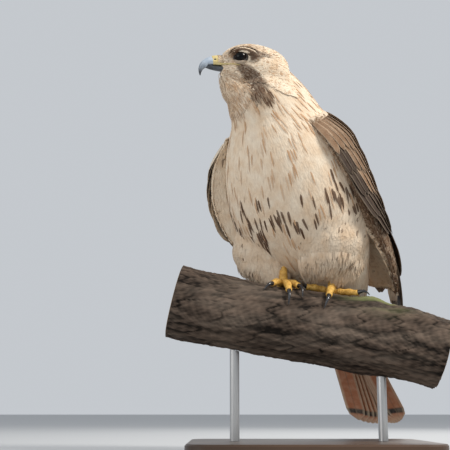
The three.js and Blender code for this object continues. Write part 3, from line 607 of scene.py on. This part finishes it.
def head_marks(place, turn, at, draw):
    """Dark round the eye, partly painted shade, with painted shadow of the brow above it, dark behind it and
    on the cheek, and a flecked crown.
    """
    turn = np.abs(turn)
    # upper is painted shadow of the brow over the eye; behind is a dark streak.
    upper = hump((place, 0.3, 0.16), (turn, 47, 7))
    behind = hump((place, 0.56, 0.12), (turn, 66, 6))
    lore = hump((place, 0.17, 0.1), (turn, 78, 20))
    # A dark ring round the eye, partly painted shade round the sunken eye.
    local = to_head(at) - np.array([0, EYE_PLACE[1] + 1, EYE_PLACE[2] + 2.5])
    eye_ring_and_shade = np.clip(2.2 * (1.25 - np.hypot(local[:, 1] / 15.5, local[:, 2] / 9)), 0, 0.95)
    cheek = cheek_mark(at) * (draw[0] < 0.85) * (0.7 + 0.3 * draw[1])
    crown = (turn < 60) & (place > 0.2) & (draw[1] < 0.22 + 0.2 * place)
    mark = np.max([cheek, np.clip(1.3 * upper + 1.1 * behind, 0, 0.9), eye_ring_and_shade], 0)
    warm = np.where(draw[3] < 0.25, 0.2 + 0.5 * draw[2], 0)
    return mark, warm, np.maximum(0.5 * lore, crown * (0.3 + 0.4 * draw[2]))


def brow_marks_and_shadow(place, turn, at, draw):
    # mark is painted shadow on the lower side of the brow ridge.
    mark = rise(np.abs(turn), 50, 14) * (0.85 + 0.15 * draw[0])
    return mark, 0, 0.35 * (draw[1] < 0.4) + 0.5 * (place < 0.3)


def lore_marks(place, turn, at, draw):
    return 0, 0, 0.04 + 0.14 * draw[1]


def chin_marks(place, turn, at, draw):
    mark = cheek_mark(at) * (draw[0] < 0.85) * (0.8 + 0.2 * draw[1])
    # shade here is painted shadow of the head over the throat, varied at random per feather.
    return mark, np.where(draw[3] < 0.2, 0.25 + 0.35 * draw[2], 0.02), 0.18 + 0.2 * draw[1]


def body_marks(place, turn, at, draw):
    """Dark streaks on belly and flanks, rusty ones above, a brown back, and painted shade over the front
    that darkens down to the belly.
    """
    off = np.abs(turn)
    belt = hump((place, 0.53, 0.075)) * rise(turn, 52, -12) * rise(turn, -75, 15)
    flank = hump((place, 0.51, 0.11), (off, 82, 24))
    belt, flank = (np.clip(1.2 * v - 0.2, 0, 1) for v in (belt, flank))
    chance = (0.09 * belt + 0.16 * flank) * np.clip(0.8 + 0.9 * noise(at, 16, 3), 0.15, 2)
    streaks = np.where(draw[3] < chance, 0.88 + 0.12 * draw[1], 0)
    back = rise(off, 128, 15) * rise(place, 0.12, 0.1)
    cheek = cheek_mark(at) * (draw[2] < 0.9) * (0.7 + 0.3 * draw[1])
    rusty = draw[0] < np.interp(place, [0, 0.3, 0.5], [0.07, 0.035, 0.02])
    nape = rise(off, 105, 40) * (place < 0.3) * (draw[2] < 0.22)
    # Painted shade over the front: a little on the upper breast, most on the lower belly, with a random tone
    # per feather.
    painted_front_shade = np.interp(place, [0.1, 0.3, 0.55, 0.8], [0.12, 0.1, 0.2, 0.3]) * (off < 120)
    mark = np.max([streaks, back * (draw[0] < 0.4) * 0.6, cheek], 0)
    warm = np.maximum(np.where(rusty, 0.4 + 0.45 * draw[1], 0.03 * draw[2]), nape * 0.8)
    return mark, warm, np.maximum(back * (0.6 + 0.4 * draw[2]), painted_front_shade + 0.1 * draw[2])


def thigh_marks(place, turn, at, draw):
    mark = np.where((place < 0.3) & (draw[1] < 0.03), 0.6, 0)
    # shade here is painted shade over the thighs, varied at random per feather.
    return mark, 0.02 + 0.06 * draw[0], 0.22 + 0.12 * draw[2]


def wing_marks(side, place, turn, at, draw):
    """Pale at the bend, dark on the outer face."""
    low = rise(place, 0.3 if side > 0 else 0.6, 0.1)
    outer = rise(turn / 180, -0.26 if side > 0 else 0.3, 0.06)
    mark = np.maximum(outer * low * (0.75 + 0.25 * draw[3]), np.where(draw[1] < 0.012, 0.7, 0))
    return mark, 0, np.maximum(0.07 + 0.07 * draw[0], outer * (0.55 + 0.45 * draw[2]))

# Small feathers, as strands that follow the skin
STEPS = 5
SKIN_REACH = 14
ROOT_SINK = 0.6
ATLAS_PATCH = 0.0015


def strands(root, ahead, length, width, lift, follow, hang):
    """Points (strands, steps, 3), outward normals and half widths. Roots far from the skin are left out."""
    at, out = follow(root)
    keep = np.linalg.norm(at - root, axis=1) < SKIN_REACH
    here, out, way, length, width, lift = (v[keep] for v in (at, out, ahead, length, width, lift))
    step = (length / (STEPS - 1))[:, None]
    place = spaced(STEPS)
    heights = np.interp(place, [0, 0.5, 0.8, 1], [0, 0.75, 1, 0.7])
    line, normals = [here - out * ROOT_SINK], [out]
    for k in range(1, STEPS):
        way = unit(way - out * (way * out).sum(1, keepdims=True))
        if hang and k > 1:
            way = unit(way * (1 - hang) - Z * hang)
            here = here + way * step
        else:
            here, out = follow(here + way * step)
        line.append(here + out * (lift * heights[k])[:, None])
        normals.append(out)
    half = 0.5 * width[:, None] * np.interp(place, [0, 0.3, 0.75, 1], [0.55, 1, 0.7, 0.04])
    return np.stack(line, 1), np.stack(normals, 1), half, keep


def coat(name, line, normals, half, uv, marks, pieces):
    """Joined feathers of three sides each, a ridge over two edges, with weaker marks at the root."""
    ahead = unit(np.gradient(line, axis=1))
    across = unit(np.cross(normals, ahead))
    half = half[..., None]
    top = line + np.cross(ahead, across) * (0.1 + 0.08 * half)
    points = np.stack([line - across * half, top, line + across * half], 2).reshape(len(line), -1, 3)
    quads = grid_faces(STEPS, 3)
    total = 3 * STEPS
    patch = [np.tile([-1, 0, 1], STEPS), np.repeat(np.linspace(-1, 1, STEPS), 3)]
    uv = uv[:, None] + np.stack(patch, -1) * ATLAS_PATCH
    drop = np.outer(np.interp(spaced(STEPS), [0, 0.3], [0.3, 1]), [0.95, 1, 0.95])
    for piece, chosen in enumerate(np.array_split(np.arange(len(line)), pieces)):
        faces = (quads + total * np.arange(len(chosen))[:, None, None]).reshape(-1, 4)
        data = {key: np.repeat(value[chosen], total) for key, value in marks.items()}
        data["mark"] = data["mark"] * np.tile(drop.ravel(), len(chosen))
        label = name if pieces == 1 else f"{name}_{piece + 1}"
        shape = points[chosen].reshape(-1, 3), faces
        add_mesh(label, shape, coat_material, data, uv[chosen].reshape(-1, 2), smooth=False)


def plant(
    name, marks, function, count, place_range, length, width, lift,
    pieces=1, weight=None, droop=0, surface=on_skin, hang=0,
):
    """Feathers at random places of a surface, thinned so that their number follows its area."""
    place = rng.uniform(*place_range, count * 4)
    turn = rng.uniform(-180, 180, count * 4)
    small_place, small_turn = 1e-3, 0.5
    at = function(place, turn)
    downward = (function(place + small_place, turn) - at) / small_place
    sideways = (function(place, turn + small_turn) - at) / small_turn
    area = np.linalg.norm(np.cross(downward, sideways), axis=1)
    if weight is not None:
        area = area * weight(turn)
    chosen = rng.choice(len(place), count, replace=False, p=area / area.sum())
    chosen = chosen[np.argsort(place[chosen])[::-1]]
    place, turn, at, downward = (v[chosen] for v in (place, turn, at, downward))
    ahead = unit(downward) + rng.normal(size=downward.shape) * 0.07 - Z * droop
    for eye_side in SIDES:
        local = to_head(at) - eye_centre(eye_side)
        clear = (np.hypot(local[:, 1] / 9.6, local[:, 2] / 8.2) > 1) | (np.abs(local[:, 0]) > 16)
        place, turn, at, ahead = (v[clear] for v in (place, turn, at, ahead))

    def varied(pair):
        return np.interp(place, place_range, pair) * rng.uniform(0.82, 1.18, len(place))

    values = marks(place, turn, at, rng.random((4, len(place))))
    mark, warm, shade = (np.broadcast_to(v, len(place)) for v in values)
    bold = (mark > 0.4) & (marks is body_marks) & (np.abs(turn) < 120)
    fine = (warm > 0.3) & (mark < 0.4) & (marks in (body_marks, chin_marks))
    length = varied(length) * (1 + 0.25 * bold + 0.35 * fine)
    width = varied(width) * (1 - 0.38 * bold - 0.55 * fine)
    lift = varied(lift) + bold + 0.8 * fine + 0.8 * ((mark > 0.5) & (marks is head_marks))
    line, normals, half, keep = strands(at, ahead, length, width, lift, surface, hang)
    uv = 0.02 + 0.96 * np.stack([(turn + 180) / 360, place], -1)[keep]
    data = {"mark": mark[keep], "warm": warm[keep], "shade": shade[keep]}
    coat(name, line, normals, half, uv, data, pieces)


# Folded wings' bodies under their feathers
WING_END = 0.66
CORE_RINGS = 34
CORE_COLUMNS = 30


def wing_band(place):
    """Where the wing begins and ends, in degrees round the bird, and how thick it is."""
    front, rear = along(WING_FRONT, place)[..., 0], along(WING_BACK, place)[..., 0]
    return front, rear, along(WING_THICK, place / 0.7)[..., 0]


def wing_core(side):
    """Rings of a wing's body: outer face, then inner face."""
    place, share = np.meshgrid(WING_END * spaced(CORE_RINGS), spaced(CORE_COLUMNS), indexing="ij")
    front, rear, thick = wing_band(place)
    turn = front + (rear - front) * share
    soft = 3 * (1 - np.sin(np.pi * share) ** 0.35)
    outer = wing_place(side, place, turn, -COAT - soft)[0]
    inner = wing_place(side, place, turn, -COAT - thick + soft)[0]
    return np.concatenate([outer, inner[:, ::-1]], 1)


def wing_edge(side, place, turn):
    """Round the core's front: the outer face above 0 degrees, edge and inner face below."""
    u = turn / 180
    front, rear, thick = wing_band(place * WING_END)
    share = np.where(u > 0, 0.3 * u, np.clip(-u - 0.35, 0, 1) * 1.5)
    deep = np.clip(-u / 0.35, 0, 1)
    return wing_place(side, place * WING_END, front + (rear - front) * share, -COAT - thick * deep)[0]


wing_surfaces = {}
for side, label in SIDES.items():
    places = np.linspace(-1, CORE_RINGS + 1, CORE_RINGS + 2) / (CORE_RINGS - 1) * WING_END
    outer = np.repeat([1, 0, 1], [CORE_COLUMNS, 25, 5])
    dark = np.outer(rise(places, 0.2 if side > 0 else 0.4, 0.08), outer).ravel() * 0.9
    data = {"mark": dark, "warm": 0 * dark + 0.05, "shade": 0.3 + 0.3 * dark}
    core = add_mesh(f"wing_skin_{label}", loft(wing_core(side)), skin_material, data)
    wing_surfaces[side] = surface_of(core)

plant(
    "body_coat", body_marks, body_point, 21500, (0, 0.99),
    (16, 26), (4, 6.2), (0.6, 1), pieces=4,
)
plant(
    "head_coat", head_marks, head_point, 12000, (0.02, 0.99),
    (4, 13), (1.1, 2.8), (1.2, 2.2), pieces=2,
)
plant(
    "chin_coat", chin_marks, chin_point, 2700, (0.03, 0.95),
    (8, 13), (1.4, 2.6), (3.2, 1.8),
)
for side, label in SIDES.items():
    plant(
        f"brow_coat_{label}", brow_marks_and_shadow, partial(brow_point, side), 900, (0, 0.98),
        (4, 6), (1.1, 1.6), (0.3, 0.8),
    )
    plant(
        f"thigh_coat_{label}", thigh_marks, partial(thigh_point, side), 4200, (0, 0.99),
        (22, 22), (4.4, 3.2), (2.2, 2), droop=0.3,
    )
    plant(
        f"thigh_skirt_{label}", thigh_marks, partial(skirt_point, side), 1500, (0, 0.99),
        (20, 17), (5, 4), (1.5, 1.5), droop=0.8, hang=0.45,
    )
    plant(
        f"wing_coat_{label}", partial(wing_marks, side), partial(wing_edge, side), 4600, (0, 0.97),
        (13, 22), (4.2, 7), (0.5, 0.9), surface=wing_surfaces[side],
    )

# Large feathers
VANE_COLUMNS = 7
VANE_THICK = 0.5


def vane(line, out, half, camber):
    """A closed thin vane: points and quads, and for each point its place along and across."""
    across = unit(np.cross(out, unit(np.gradient(line, axis=0))))
    u = np.linspace(-1, 1, VANE_COLUMNS)
    top = line[:, None] + across[:, None] * (half[:, None] * u)[..., None]
    top = top - out[:, None] * (camber[:, None] * u**2)[..., None]
    depth = VANE_THICK * (0.35 + 0.65 * (1 - np.abs(u)))
    under = top - out[:, None] * depth[:, None]
    points, quads = loft(np.concatenate([top, under[:, ::-1]], 1))
    place, width = np.meshgrid(spaced(len(line)), np.concatenate([u, u[::-1]]), indexing="ij")
    return points, quads, with_ends(place), with_ends(width)


def outline(s, blunt):
    """Half width of a feather along its length, with a tip that begins at blunt."""
    rest = np.clip((s - blunt) / (1 - blunt), 0, 1)
    return np.interp(s, [0, 0.35, 1], [0.55, 1, 1]) * np.maximum(0.1, np.sqrt(1 - rest**2 * 0.99))


class Bundle:
    """Large feathers of one piece, made as one mesh."""

    def __init__(self):
        self.vanes, self.data, self.uv = [], {}, []

    def add(self, line, out, half, camber, spot, **values):
        points, faces, place, across = vane(line, out, half, camber)
        self.vanes.append((points, faces))
        for key, value in {"along": place, "across": across, **values}.items():
            self.data.setdefault(key, []).append(np.broadcast_to(value, len(points)))
        self.uv.append(np.array(spot) + ATLAS_PATCH * np.stack([across, 2 * place - 1], -1))

    def make(self, name, node):
        data = {key: np.concatenate(values) for key, values in self.data.items()}
        add_mesh(name, join(self.vanes), wing_material, data, np.concatenate(self.uv), (node,))


# Tiers: count, first and last feather (root, tip, width, lift at root and tip), lean, blunt, tone
TIERS = {
    "primary": (9, [42, 102, 86, 112, 17, -7, -4.6], [46, 130, 98.5, 138, 20, -6, 3.4], 0.03, 0.76, 1),
    "secondary": (10, [34, 112, 63, 128, 24, -6, 1], [36, 158, 71, 160, 26, -6, 5.5], 0.07, 0.72, 0.86),
    "tertial": (4, [32, 150, 59, 152, 27, -4, 7.5], [30, 164, 52, 166, 28, -4, 9.6], 0.1, 0.62, 0.55),
    "greater": (12, [26, 84, 44, 98, 16, -5, 0.8], [26, 144, 48, 148, 19, -5, 4.6], 0.1, 0.6, 0.72),
    "median": (12, [20, 74, 37, 88, 14, -4, 1.6], [20, 142, 40, 146, 18, -4, 5], 0.1, 0.55, 0.66),
    "lesser_low": (12, [14, 70, 29, 82, 13, -3, 1.8], [14, 140, 32, 143, 17, -3, 5], 0.1, 0.5, 0.6),
    "lesser_mid": (12, [8, 67, 22, 74, 12, -3, 1.8], [8, 138, 25, 141, 16, -3, 4.8], 0.1, 0.5, 0.6),
    "lesser_high": (11, [3, 66, 15, 69, 11, -3, 1.4], [2, 136, 18, 140, 15, -3, 4.4], 0.1, 0.5, 0.6),
    "flank": (9, [40, 100, 69, 106, 15, -15, -8], [42, 130, 71, 132, 18, -18, -9], 0.05, 0.5, 0.02),
    "scapular_low": (5, [12, 146, 36, 152, 24, -4, 7.6], [20, 158, 45, 167, 27, -4, 10], 0.1, 0.6, 0.55),
    "scapular_mid": (5, [6, 142, 28, 148, 22, -4, 7.8], [10, 158, 34, 167, 25, -4, 10.2], 0.1, 0.58, 0.5),
    "scapular_high": (5, [2, 138, 19, 144, 20, -4, 7], [2, 158, 24, 166, 23, -4, 9.6], 0.1, 0.55, 0.45),
}
# Up to this share of a tier's feathers, from the front, the left wing is nearly black
DARK_SHARE = {"greater": 0.45, "median": 0.3, "lesser_low": 0.18, "lesser_mid": 0.1}


def wing_tone(side, tier, tone, share):
    """Darkness of a feather. The coverts' front is pale, more so on the right wing."""
    front = np.clip(1.25 - share * 3.2, 0, 1) if tier.startswith(("lesser", "median")) else 0
    value = tone * (1 - 0.85 * front * (1 if side < 0 else 0.2)) + rng.uniform(-0.06, 0.06)
    if side > 0 and share < DARK_SHARE.get(tier, 0):
        return 0.9
    return 0 if tier == "flank" else value


def wing_feathers(side):
    """Roots and tips in TIERS are percents along the wing and degrees round it."""
    bundle = Bundle()
    for tier, (count, first, last, lean, blunt, tone) in TIERS.items():
        if tier == "flank" and side < 0:
            continue
        s = spaced(16 if tier in ("primary", "secondary", "tertial") else 10)
        for k in range(count):
            share = k / (count - 1)
            row = (1 - share) * np.array(first) + share * np.array(last)
            place, turn, tip_place, tip_turn, width, low, high = row * [0.01, 1, 0.01, 1, 1, 1, 1]
            tip_place += 0.006 * math.sin(2.4 * k + 0.7) + rng.uniform(-0.004, 0.004)
            tip_turn += rng.uniform(-0.8, 0.8)
            line, out = wing_place(side, place + (tip_place - place) * s, turn + (tip_turn - turn) * s)
            line = line + out * (low + (high - low) * np.minimum(1, 1.6 * s))[:, None]
            ahead = unit(np.gradient(line, axis=0))
            leaning = unit(out + unit(np.cross(out, ahead)) * (side * lean))
            half = 0.5 * width * outline(s, blunt)
            value = wing_tone(side, tier, tone, share)
            bundle.add(
                line, leaning, half, half**2 / (2 * (90 + 130 * s)), (0.05 + turn / 200, 0.05 + 0.9 * place),
                tone=np.clip(value, 0, 1), bars=0.25 if tier in ("primary", "secondary") else 0,
                edge=0.3 if tier == "primary" or value > 0.85 else 0.55,
            )
    bundle.make(f"wing_feathers_{SIDES[side]}", f"wing_{SIDES[side]}")


for side in SIDES:
    wing_feathers(side)

# Tail
tilt = math.radians(TAIL_TILT)
TAIL_AHEAD = np.array([0, math.sin(tilt), -math.cos(tilt)])
TAIL_BACK = np.array([0, math.cos(tilt), math.sin(tilt)])
tail = Bundle()


def tail_feather(sideways, down, out, width, blunt, lean=0, steps=20, **values):
    """A feather with a root and a tip at pairs of distances, two in the tail's plane and one off it."""
    s = spaced(steps)
    x, y, z = (pair[0] + (pair[1] - pair[0]) * s for pair in (sideways, down, out))
    z = z - 5 * np.sin(0.5 * np.pi * s)
    line = np.array(TAIL_ROOT) + TAIL_AHEAD * y[:, None] + TAIL_BACK * z[:, None] + X * x[:, None]
    half = 0.5 * width * outline(s, blunt)
    normal = np.broadcast_to(unit(TAIL_BACK - X * lean), line.shape)
    tail.add(line, normal, half, half * 0.06, (0.5 + sideways[0] / 200, 0.1 + down[0] / 300), **values)


for k in range(6):
    for side in SIDES:
        tail_feather(
            (side * (3 + 1.6 * k), side * (6 + 5.6 * k)), (24, TAIL_LENGTH - 0.5 * k * k),
            (3.2 - 1.3 * k + side * 0.3, 5 - 1.9 * k + side * 0.5), 33 - 0.6 * k, 0.88,
            tone=0.3, red=0.9, band=1, edge=0.6,
        )
# Coverts over the tail, then under it
for row, (low, high, out) in enumerate(((14, 84, 12.4), (6, 60, 15.5), (0, 38, 18))):
    for k in range(-3, 4):
        tail_feather(
            (k * 7, k * 9.5), (low, high - 5 * abs(k)), (9 + 2 * row, out - abs(k)), 17, 0.6, 0.06 * k, 10,
            tone=0.5 if row else 0.35, red=0.1 if row else 0.35, band=0, edge=0.7,
        )
for row, (low, high, out) in enumerate(((10, 96, -11), (4, 72, -14.5), (0, 46, -18))):
    for k in range(-3, 4):
        tail_feather(
            (k * 7, k * 9.5), (low, high - 7 * abs(k)), (-13 - 2 * row, out + 1.2 * abs(k)), 18, 0.6,
            -0.06 * k, 10, tone=0.03, red=0, band=0, edge=0,
        )
tail.make("tail_feathers", "tail")

# Head details
EYE_SIDES = 40
# Lid: degrees from the eye's axis, height over the eyeball
LID = [(62, -0.4), (61, 0.4), (63, 1), (67, 1.3), (73, 1.3), (80, 1.2), (88, 0.9), (86, -1), (68, -1.2)]


def eye_rings(side, profile, squeeze):
    """Rings round the eye's axis at pairs of degrees and radius, pressed to an almond if squeeze is True."""
    s, c = (v[:, None] for v in circle(EYE_SIDES))
    outward = unit(np.array([side * 0.93, -0.36, -0.04]))
    u = unit(np.cross(Z, outward))
    v = np.cross(outward, u)
    flat = 1 - np.where(s > 0, 0.12, 0.42) * np.abs(s)
    rows = []
    for angle, radius in profile:
        a = np.radians(angle) * (1 + (flat - 1) * (squeeze and rise(angle, 88, -20)))
        rows.append(eye_centre(side) + (outward * np.cos(a) + (u * c + v * s) * np.sin(a)) * radius)
    return on_head(np.array(rows))


for side, label in SIDES.items():
    angles = np.linspace(1, 179, 28)
    ball = [(angle, EYE_RADIUS + 0.5 * hump((angle, 0, 32))) for angle in angles]
    ball = loft(eye_rings(side, ball, False))
    axis = np.repeat(np.cos(np.radians([0, *angles, 180])), EYE_SIDES)
    add_mesh(f"eyeball_{label}", ball, eye_material, {"axis": axis}, node=(f"eye_{label}",))
    lid = eye_rings(side, [(angle, EYE_RADIUS + height) for angle, height in LID], True)
    points = lid.reshape(-1, 3)
    local = to_head(points) - eye_centre(side)
    tall = np.where(local[:, 2] > 0, 7.6, 5)
    # mark darkens the lid rims near the eye, partly painted shade, reaching higher above the eye under the
    # brow.
    rim = np.clip(4 * (1.15 - np.hypot(local[:, 1] / 16, local[:, 2] / tall)), 0, 1)
    faces = grid_faces(len(LID) + 1, EYE_SIDES) % len(points)
    add_mesh(f"lids_{label}", (points, faces), lid_material, {"mark": rim})

BILL_CUT = -3.2
BILL_SIDES = 40
NOSTRIL = (6.3, -52, 3)
GAPE = [[6, -46, -2.8], [10.6, -40, -2.8], [15.6, -34, -3.1], [20, -28.5, -3.8], [23, -22.5, -5]]
GAPE_RADIUS = [2, 2.2, 1.8, 1.5, 0.6]
# Lower bill, in the head's frame: y, z, half width, half height
LOWER_BILL = [
    [-34, -7.2, 6.8, 3.9], [-38, -7, 6.6, 3.9], [-48, -6.8, 5.6, 3.5], [-57, -6.4, 4, 2.8],
    [-63.5, -6, 1.8, 1.4],
]


def bill_rings(start, end, count, hook):
    """Rings of the bill, with its underside level at the cut. With a hook it falls near the tip."""
    centre, back, sizes = section(BILL, np.linspace(start, end, count))
    s, c = circle(BILL_SIDES)
    across = X * (sizes[:, :1] * s * np.where(c > 0, 1 - 0.42 * c * c, 1))[..., None]
    points = centre[:, None] + across - back[:, None] * (sizes[:, 1:] * c)[..., None]
    level = BILL_CUT - hook * 30 * np.clip(-points[..., 1] - 61, 0, 20)
    points[..., 2] = np.where(points[..., 1] > -70, np.maximum(points[..., 2], level), points[..., 2])
    return points


upper = loft(on_head(bill_rings(0.335, 1, 60, 1)))
tip = np.repeat([0, *spaced(60), 1], BILL_SIDES)
add_mesh("upper_bill", upper, horn_material, {"tip": tip}, node=("bill_upper",))

# Cere, with a dent at each nostril and a gape that runs back below the eye
cere_rings = bill_rings(0, 0.36, 24, 0)
middle = cere_rings.mean(1, keepdims=True)
swell = np.interp(spaced(24), [0, 0.8, 0.95, 1], [1.03, 1.06, 1.05, 0.97])
cere_rings = middle + (cere_rings - middle) * swell[:, None, None]
for side in SIDES:
    away = np.linalg.norm((cere_rings - np.array(NOSTRIL) * [side, 1, 1]) / [3, 1.9, 1.5], axis=-1)
    cere_rings = cere_rings - X * (side * 2 * np.exp(-(away**2) * 1.2))[..., None]
cere_parts = [loft(on_head(cere_rings))]
for side in SIDES:
    radii = along(GAPE_RADIUS, spaced(22)) * [0.85, 0.42]
    cere_parts.append(loft(on_head(tube(along(GAPE, spaced(22)) * [side, 1, 1], radii, 14))))
cere = add_mesh("cere_skin", join(cere_parts), cere_material, node=("cere",))


def lore_point(place, turn):
    """Round the back of the cere, where the face feathers begin."""
    y, z, wide, high = np.moveaxis(along(BILL, 0.245 - 0.12 * place), -1, 0)
    s, c = sin_cos(turn)
    return on_head(xyz(1.05 * wide * s, y, z + 1.05 * high * c))


plant(
    "lore_coat", lore_marks, lore_point, 900, (0, 1), (5, 8), (1.2, 1.8), (0.6, 2.2),
    weight=lambda turn: np.abs(turn) < 100, surface=surface_of(cere),
)

for side, label in SIDES.items():
    s, c = circle(24)
    hole = []
    for x, size in ((6.6, 0.9), (6.2, 1), (5.3, 0.8)):
        hole.append(xyz(side * x, NOSTRIL[1] + size * 1.5 * c, NOSTRIL[2] + size * 0.95 * s))
    add_mesh(f"nostril_{label}", loft(on_head(hole)), claw_material)

lower = along(LOWER_BILL, spaced(28))
s, c = circle(32)
y, z, wide, high = (lower[:, k:k + 1] for k in range(4))
lower = loft(on_head(xyz(wide * s, y, np.minimum(z + high * c, -3.5))))
add_mesh("lower_bill", lower, lower_material, node=("bill_lower",))

# Feet
CLAW_STEPS = 14
CLAW_RADIUS = (3.1, 0.35)
PAD_REACH = 8
SHANK_WAY = (6, 8, 52)


def toe_tube(side, toe):
    """A toe on the bark, with pads and scales."""
    way, length, _ = TOES[side][toe]
    s = spaced(60)
    radius = TOE_RADIUS[toe]
    sideways, forward = (length * s * v for v in sin_cos(way))
    pads = 0.1 * np.cos(2 * np.pi * s * 3) + 0.035 * np.cos(2 * np.pi * s * 13)
    line = bark_point(side, sideways, forward, radius - 0.3 + 1.6 * np.sin(np.pi * s))
    end = np.sqrt(1 - rise(s, 0.9, 0.1) ** 2 * 0.7)
    return loft(tube(line, radius * (1.05 - 0.2 * s + pads) * end, 20))


def claw_tube(side, toe):
    """A talon that leaves the toe upward and then dips to the bark."""
    way, length, claw_way = TOES[side][toe]
    sideways, forward = ((length - 1) * v for v in sin_cos(way))
    height = TOE_RADIUS[toe] + 0.4
    pace = CLAW_LENGTHS[toe] / CLAW_STEPS
    claw = []
    for k in range(CLAW_STEPS + 1):
        claw.append(bark_point(side, sideways, forward, height))
        dip = math.radians(24 - 90 * k / (CLAW_STEPS - 1))
        s, c = sin_cos(way + (claw_way - way) * min(1, (k + 1) / (0.6 * CLAW_STEPS)))
        sideways += pace * math.cos(dip) * s
        forward += pace * math.cos(dip) * c
        height = max(0.9, height + pace * math.sin(dip))
    thick, thin = CLAW_RADIUS
    return loft(tube(claw, thick + (thin - thick) * spaced(CLAW_STEPS + 1) ** 0.85))


for side, label in SIDES.items():
    for toe in TOES[side]:
        claw = claw_tube(side, toe)
        node = (f"claw_{label}_{toe}",)
        add_mesh(f"talon_{label}_{toe}", claw, claw_material, node=node, placed=np.asarray)
    pad = [bark_point(side, d, 0, 5) for d in np.linspace(-PAD_REACH, PAD_REACH, 12)]
    pad_radius = np.sqrt(np.clip(1 - (np.linspace(-1, 1, 12) * 0.95) ** 2, 0.02, 1)) * 7
    t = spaced(60)
    sole = to_bird(bark_point(side, 0, 0, 6))
    shank = sole + np.array(SHANK_WAY) * [side, 1, 1] * t[:, None]
    girth = (6.4 - 1.2 * np.sin(np.pi * np.minimum(1, t * 1.2))) * (1 + 0.03 * np.cos(t * 2 * np.pi * 14))
    parts = [toe_tube(side, toe) for toe in TOES[side]]
    parts += [loft(tube(pad, pad_radius, 24)), loft(to_row(tube(shank, girth, 22)))]
    node = (f"foot_{label}", f"shank_{label}")
    add_mesh(f"foot_skin_{label}", join(parts), foot_material, node=node, placed=np.asarray)

# Perch, with ridges, cracks and a little lichen
PERCH_STEPS = 350
PERCH_SIDES = 210
x = PERCH_LENGTH * (spaced(PERCH_STEPS) - 0.5)
x, turn = np.meshgrid(x, full_turn(PERCH_SIDES) - np.pi, indexing="ij")
twisted = turn + x * 0.0015
spots = xyz(x * 0.13, PERCH_RADIUS * np.cos(twisted), PERCH_RADIUS * np.sin(twisted))
ridges = 0.5 * noise(spots, 8, 11) + 0.45 * noise(spots * [2, 1, 1], 3.4, 12)
ridges += 0.4 * noise(spots * [4, 1, 1], 1.5, 13)
cracks = np.exp(-(noise(spots * [1.5, 1, 1], 9, 14) ** 2) / 0.006)
height = np.clip(ridges - 0.8 * cracks, -1.6, 1.2)
under_feet = 1 - 0.75 * hump((x, -6, 55), (turn, -0.1, 0.9))
lichen = hump((x, 78, 30), (turn, 0.25, 0.4)) * np.clip(noise(spots, 5, 15) + 0.6, 0, 1)
wood = loft(on_perch(x, turn, (1.5 * height - 1.2) * under_feet))
bark = {"height": with_ends(height), "lichen": with_ends(lichen)}
add_mesh("branch", wood, bark_material, bark, node=("perch",), placed=np.asarray)

# Cut ends, as discs just outside the bark's ends
END_SIDES = 120
ends = []
shares = np.linspace(0.02, 1, 26)
for end in (-1, 1):
    x_end = end * PERCH_LENGTH / 2
    middle = xyz(x_end, 0, perch_height(x_end))
    rim = on_perch(x_end, full_turn(END_SIDES) - np.pi, -3.2)
    ahead = unit(np.array([1, 0, -PERCH_SLOPE - 2 * PERCH_BEND * abs(x_end)])) * end
    discs = [middle + (rim - middle) * share + ahead * 0.5 for share in shares]
    ends.append(loft(np.array([*discs, rim - ahead])))
radius = np.tile(np.repeat([0, *shares, 1, 1], END_SIDES), 2)
add_mesh("branch_ends", join(ends), grain_material, {"radius": radius}, placed=np.asarray)

# Stand: the CAD pieces with finished materials
STAND = {"stand_base": wood_material, "stand_rod_left": metal_material, "stand_rod_right": metal_material}
for name, material in STAND.items():
    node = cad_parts[name]
    node.data.materials.clear()
    node.data.materials.append(material)

# Floor, light and camera
FLOOR_REACH = 30
look = Look("floor", 0.9)
floor_material = look.finish(look.blend(look.noise(3), (0.47, 0.48, 0.49), (0.5, 0.51, 0.52)))
corners = [(x * FLOOR_REACH, y * FLOOR_REACH, 0) for x, y in ((-1, -1), (1, -1), (1, 1), (-1, 1))]
floor_mesh = bpy.data.meshes.new("floor")
floor_mesh.from_pydata(corners, [], [(0, 1, 2, 3)])
floor_mesh.materials.append(floor_material)
floor = new_object("floor", floor_mesh)

world = bpy.data.worlds.new("studio")
world.use_nodes = True
background = world.node_tree.nodes["Background"]
background.inputs["Color"].default_value = (0.84, 0.88, 0.93, 1)
background.inputs["Strength"].default_value = 0.66
bpy.context.scene.world = world
bpy.context.scene.view_settings.view_transform = "Standard"

# Lamps: place, height of the target, size, power, colour
LAMPS = {
    "key": ((1.3, -0.9, 1.7), 0.35, 0.6, 43, (1, 0.95, 0.88)),
    "fill": ((-1.4, -1.1, 0.8), 0.25, 1.2, 9, (1, 0.97, 0.94)),
    "rim": ((0.6, 1.4, 1.3), 0.3, 0.8, 14, (1, 0.97, 0.92)),
}
for name, (place, target, size, power, colour) in LAMPS.items():
    light = bpy.data.lights.new(name, "AREA")
    light.size = size
    light.energy = power
    light.color = colour
    lamp = new_object(name, light)
    lamp.location = place
    lamp.rotation_euler = (Vector((0, 0, target)) - Vector(place)).to_track_quat("-Z", "Y").to_euler()

# The camera looks up at the bird as in the photo, where a pixel at the feet is 1.3 mm
SENSOR = 36
PIXEL = 1.3
PHOTO_WIDTH = 450
CAMERA_AWAY = 1150
CAMERA_SIDEWAYS = -104
CAMERA_AIM = 84.5
tip_up = math.radians(12)
camera_data = bpy.data.cameras.new("camera")
camera_data.sensor_width = SENSOR
camera_data.lens = SENSOR * (CAMERA_AWAY / PIXEL) / PHOTO_WIDTH
camera = new_object("camera", camera_data)
camera_height = PERCH_TOP + CAMERA_AIM / math.cos(tip_up) - CAMERA_AWAY * math.sin(tip_up)
camera.location = Vector((CAMERA_SIDEWAYS, -CAMERA_AWAY * math.cos(tip_up), camera_height)) * MM
camera.rotation_euler = (math.pi / 2 + tip_up, 0, 0)
bpy.context.scene.camera = camera
